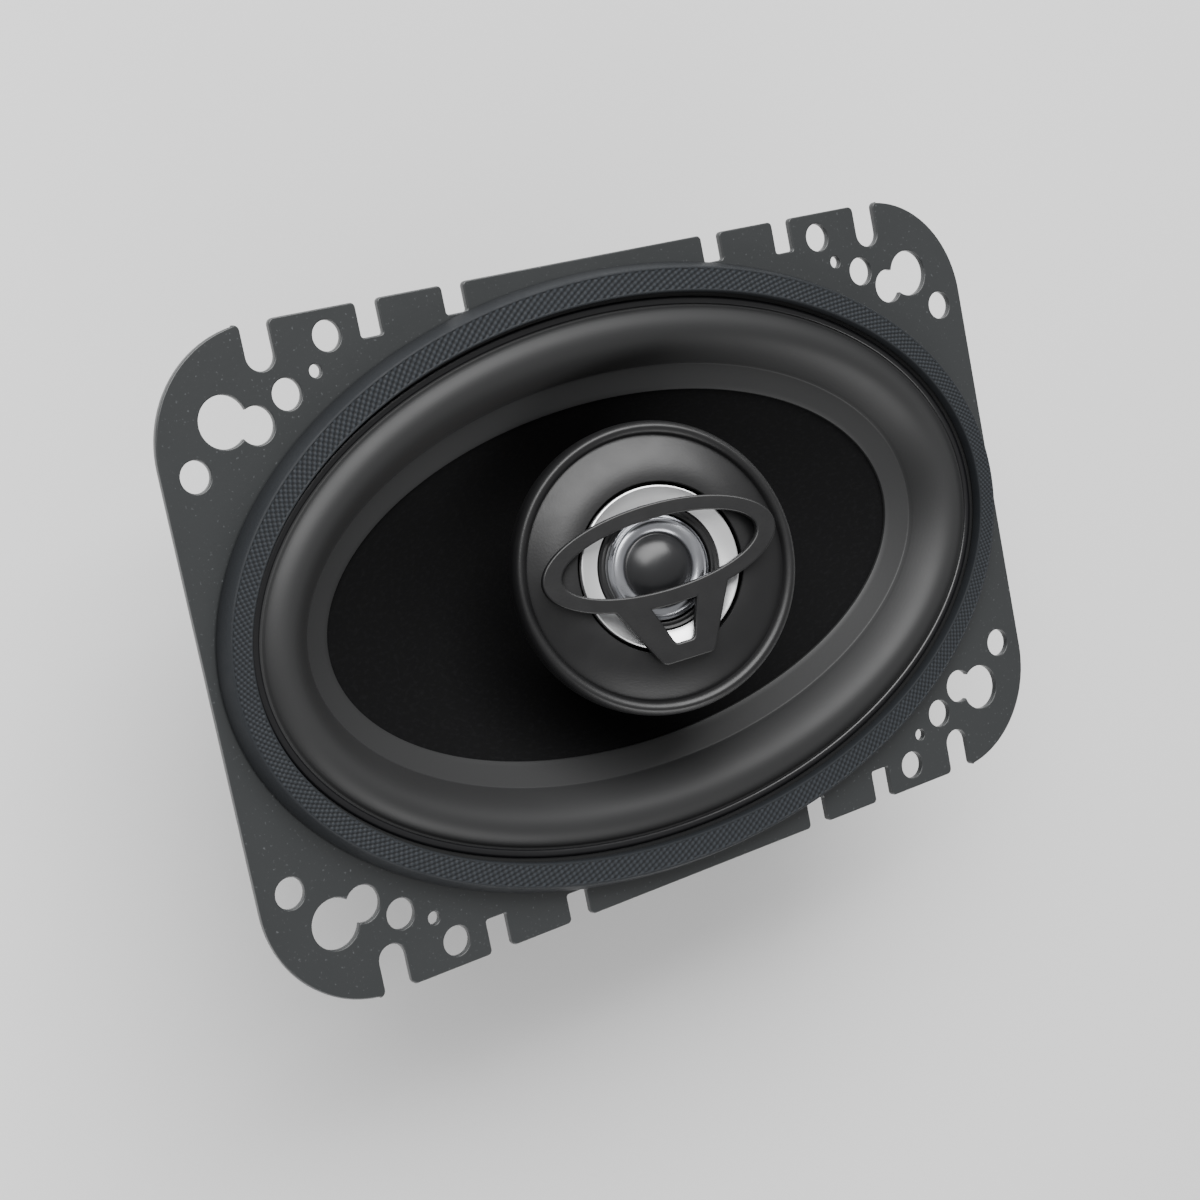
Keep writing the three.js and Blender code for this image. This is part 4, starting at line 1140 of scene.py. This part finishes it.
class SPEAKER_OT_motor(bpy.types.Operator):
    """Build the magnet, the steel plates, the rivets, the post and its nut"""

    bl_idname = "speaker.motor"
    bl_label = "Motor and post"

    def execute(self, context):
        self.build_rings()
        self.build_post()
        for k in range(1, 5):
            self.build_rivet(k)
        self.build_yoke()
        keep_cad("post_nut", "zinc_plate")
        return {"FINISHED"}

    def build_rings(self):
        """The ferrite ring and the top plate, with softened corners."""
        for name, node, slot, bore, rounding in (
            ("ferrite_ring", "magnet", "ferrite", MAGNET_BORE, 0.7),
            ("front_plate", "top_plate", "zinc_plate", PLATE_BORE, 0.4),
        ):
            outer, _, low, high = half(node)
            corners = [(bore, low), (outer, low), (outer, high), (bore, high)]
            dress(turned(name, soften(corners, rounding, 4), 144), "frame", slot, node)

    def build_yoke(self):
        """The back plate and its pole: one turned piece, with a recess for the nut and a slot for leads."""
        outer, _, low, top = half("yoke")
        y = SimpleNamespace(**YOKE)
        corners = [
            (y.bore, y.recess_depth), (y.recess, y.recess_depth), (y.recess, low), (outer, low),
            (outer, y.plate), (y.pole, y.plate), (y.pole, top), (y.bore, top),
        ]
        piece = turned("back_plate", soften(corners, (0.1, 0.1, 0.5, 0.8, 0.4, 0.1, 0.4, 0.3), 4), 144)
        wide, reach = LEAD_SLOT["half_width"], outer + 2
        outline = np.array([(-wide, -reach), (wide, -reach), (wide, 0), (-wide, 0)])
        slot = plate("slot_cutter", outline, [], -1, LEAD_SLOT["depth"], 0.02)
        piece = cut_away(piece, [slot])
        keep_level(piece.data, Vector((0, 0, 1)))
        dress(piece, "frame", "zinc_plate", "yoke")

    def build_post(self):
        """The stalk, its collar on the pole and the ball at its top, one turned piece with a wire bore."""
        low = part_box("tweeter_post")[0].z / MM
        pivot = joint("pod_swivel_along")["pos_m"][2] / MM
        collar = 20.9
        stem = [
            (1.7, low), (3.6, low), (3.6, collar), (9, collar), (9, collar + 1.5), (5, collar + 2.5),
            (4, collar + 6), (4, pivot - 9.5), (2.6, pivot - 7.5),
        ]
        ball = ball_arc(BALL_RADIUS, 150, 19.1, 26, pivot)
        section = np.concatenate([soften(stem, 0.6, 4, closed=False), ball])
        dress(turned("stalk", section, 96), "frame", "pod_plastic", "tweeter_post")
        liner = np.concatenate([ball_arc(LINER["inner"], 121, 46, 16), ball_arc(LINER["outer"], 46, 121, 16)])
        dress(turned("friction_liner", liner, 72, POD), "swivel", "former_film", "ball_liner")

    def build_rivet(self, k):
        """A rivet with a domed head."""
        low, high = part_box(f"frame_rivet_{k}")
        x, y = (low.x + high.x) / 2 / MM, (low.y + high.y) / 2 / MM
        base, top = low.z / MM, high.z / MM
        seat = top - 1
        corners = [(0, base), (1.6, base), (1.6, seat), (2.9, seat), (2.3, top), (0, top)]
        place = Matrix.Translation((x * MM, y * MM, 0))
        piece = turned(f"rivet_{k}", soften(corners, 0.4, 4, closed=False), 32, place, pole=True)
        dress(piece, "frame", "zinc_plate", f"frame_rivet_{k}")


def keep_cad(node, slot):
    """A CAD node whose shape is right keeps it and gets a finish."""
    mesh = frame["nodes"][node].data
    mesh.materials.clear()
    mesh.materials.append(finish_of(slot))


class SPEAKER_OT_wiring(bpy.types.Operator):
    """Build the terminal board, blades, rivets, capacitor and wires"""

    bl_idname = "speaker.wiring"
    bl_label = "Terminals and wiring"

    def execute(self, context):
        self.build_board()
        self.build_capacitor()
        self.build_wires()
        return {"FINISHED"}

    def build_board(self):
        """The board and its metal parts keep their CAD shapes."""
        keep_cad("terminal_board", "board_phenolic")
        for node in (
            "board_rivet_1", "board_rivet_2", "terminal_positive", "terminal_negative",
            "terminal_rivet_positive", "terminal_rivet_negative",
        ):
            keep_cad(node, "zinc_plate")

    def build_capacitor(self):
        """A sleeved can with a groove rolled round one end."""
        low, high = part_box("crossover_capacitor")
        length, radius = (high.x - low.x) / MM, (high.z - low.z) / 2 / MM
        middle = (low + high) / 2
        corners = [
            (0, 0), (radius - 0.4, 0), (radius - 0.1, 0.5), (radius, 1.6), (radius - 0.5, 2.1), (radius, 2.6),
            (radius, length - 0.4), (radius - 0.5, length), (0, length),
        ]
        lay = Matrix.Translation((low.x, middle.y, middle.z)) @ Matrix.Rotation(math.pi / 2, 4, "Y")
        can = turned("capacitor_can", soften(corners, 0.3, 4, closed=False), 72, lay, pole=True)
        dress(can, "frame", "can_sleeve", "crossover_capacitor")

    def build_wires(self):
        """The tweeter leads run down the post, out under the motor and up to the capacitor.

        The tinsel leads hang in a loop between the board and the cone's neck.
        """
        pivot = joint("pod_swivel_along")["pos_m"][2] / MM
        for pole, side, colour in (("positive", -1, "wire_red"), ("negative", 1, "wire_black")):
            end = side * 8.1
            route = [
                (side * 0.75, 0, pivot + 3), (side * 0.75, 0, 20), (side * 0.75, 0, 4.2),
                (side * 0.75, -1.2, 1.6), (side, -6, 0.95), (side, -25, 1), (side, -28, 1.15),
                (side, -31.4, 2.1), (side, -32.6, 4.5),
                (side, -32.8, 14), (side * 2, -34, 19), (end, -41.4, 23.5), (end, -41.4, 28.5),
            ]
            lead = tube(f"lead_{pole}", smooth_path(route, 160), 0.58)
            dress(lead, "frame", colour, f"tweeter_lead_{pole}")
            braid = [
                (side * 6.5, -44.1, 35.3), (side * 8, -41.3, 31.3), (side * 10, -34, 30),
                (side * 8, -24, 28.2), (side * 6, -16.4, 27.7),
            ]
            tinsel = tube(f"tinsel_{pole}", smooth_path(braid, 60), 0.5)
            dress(tinsel, None, "copper_wire", f"tinsel_lead_{pole}")
            flex(tinsel, self.share_of_way(tinsel, braid[0][1], braid[-1][1]))

    def share_of_way(self, piece, start, end):
        """How far each point lies from one Y to another, in millimetres, as a share from 0 to 1."""
        return np.clip((points_of(piece)[:, 1] / MM - start) / (end - start), 0, 1)


# ------------------------------------------------------------------ stage
WORLD_STRENGTH = 0.4
LIGHTS = (
    ("key_light", (-0.12, 0.8, 0.75), (1.5, 0.7), 26),
    ("fill_light", (-0.1, -0.9, 0.45), (0.8, 0.5), 6),
)
CAMERA_TURN = (-0.918, -33.612, -13.487)
CAMERA_PLACE = (-0.2017, 0.04914, 0.29787)
CAMERA_LENS = 64.08


class SPEAKER_OT_stage(bpy.types.Operator):
    """Set the floor, the soft light and the camera"""

    bl_idname = "speaker.stage"
    bl_label = "Stage"

    def execute(self, context):
        self.build_floor()
        self.build_light(context)
        self.build_camera(context)
        return {"FINISHED"}

    def build_floor(self):
        """A wide pale plane under the speaker."""
        mesh = bpy.data.meshes.new("floor")
        reach = 3.0
        corners = [(-reach, -reach, 0), (reach, -reach, 0), (reach, reach, 0), (-reach, reach, 0)]
        mesh.from_pydata(corners, [], [(0, 1, 2, 3)])
        floor = link("floor", mesh)
        f = Finish("studio_floor", (0.9, 0.9, 0.9), 0.7)
        f.tint(f.noise(3, 2), (0.88, 0.88, 0.885), 0.5)
        mesh.materials.append(f.material)

    def build_light(self, context):
        """A pale world, a large soft light above the top edge, and a weaker one from below it."""
        world = bpy.data.worlds.new("studio")
        world.use_nodes = True
        background = world.node_tree.nodes["Background"]
        background.inputs["Color"].default_value = (1, 1, 1, 1)
        background.inputs["Strength"].default_value = WORLD_STRENGTH
        context.scene.world = world
        for name, place, size, power in LIGHTS:
            self.softbox(name, place, size, power)

    def softbox(self, name, place, size, power):
        """A rectangular area light that points at the speaker."""
        light = bpy.data.lights.new(name, "AREA")
        light.shape = "RECTANGLE"
        light.size, light.size_y = size
        light.energy = power
        lamp = link(name, light)
        lamp.location = place
        lamp.rotation_euler = (Vector((0, 0, FACE)) - Vector(place)).to_track_quat("-Z", "Y").to_euler()

    def build_camera(self, context):
        """A camera in front of the flange, to its left, turned by angles in degrees round X, Y and Z."""
        camera = bpy.data.cameras.new("camera")
        camera.lens = CAMERA_LENS
        camera.sensor_width = 36
        eye = link("camera", camera)
        eye.location = Vector(CAMERA_PLACE) + Vector((0, 0, FACE))
        eye.rotation_euler = [math.radians(angle) for angle in CAMERA_TURN]
        context.scene.camera = eye


# ------------------------------------------------------------------ panel and registration
STEPS = ("basket", "gasket", "woofer", "motor", "pod", "tweeter", "wiring", "stage")


class SPEAKER_PT_panel(bpy.types.Panel):
    """The sidebar panel that lists the sizes, the colours and the steps"""

    bl_idname = "SPEAKER_PT_panel"
    bl_label = "Coaxial car speaker"
    bl_space_type = "VIEW_3D"
    bl_region_type = "UI"
    bl_category = "Speaker"

    def draw(self, context):
        layout = self.layout
        for group in (context.scene.speaker_sizes, context.scene.speaker_colours):
            column = layout.column()
            for key in group.__annotations__:
                column.prop(group, key)
        for step in STEPS:
            layout.operator("speaker." + step)


CLASSES = (
    SpeakerSizes,
    SpeakerColours,
    SPEAKER_OT_basket,
    SPEAKER_OT_gasket,
    SPEAKER_OT_woofer,
    SPEAKER_OT_motor,
    SPEAKER_OT_pod,
    SPEAKER_OT_tweeter,
    SPEAKER_OT_wiring,
    SPEAKER_OT_stage,
    SPEAKER_PT_panel,
)


def register():
    """Registers every class and hangs the two property groups on the scene."""
    for cls in CLASSES:
        bpy.utils.register_class(cls)
    bpy.types.Scene.speaker_sizes = bpy.props.PointerProperty(type=SpeakerSizes)
    bpy.types.Scene.speaker_colours = bpy.props.PointerProperty(type=SpeakerColours)


def unregister():
    """Takes the property groups and the classes away again."""
    del bpy.types.Scene.speaker_sizes
    del bpy.types.Scene.speaker_colours
    for cls in reversed(CLASSES):
        bpy.utils.unregister_class(cls)


def main():
    """Builds every piece in order."""
    register()
    for step in STEPS:
        getattr(bpy.ops.speaker, step)()


if __name__ == "__main__":
    main()
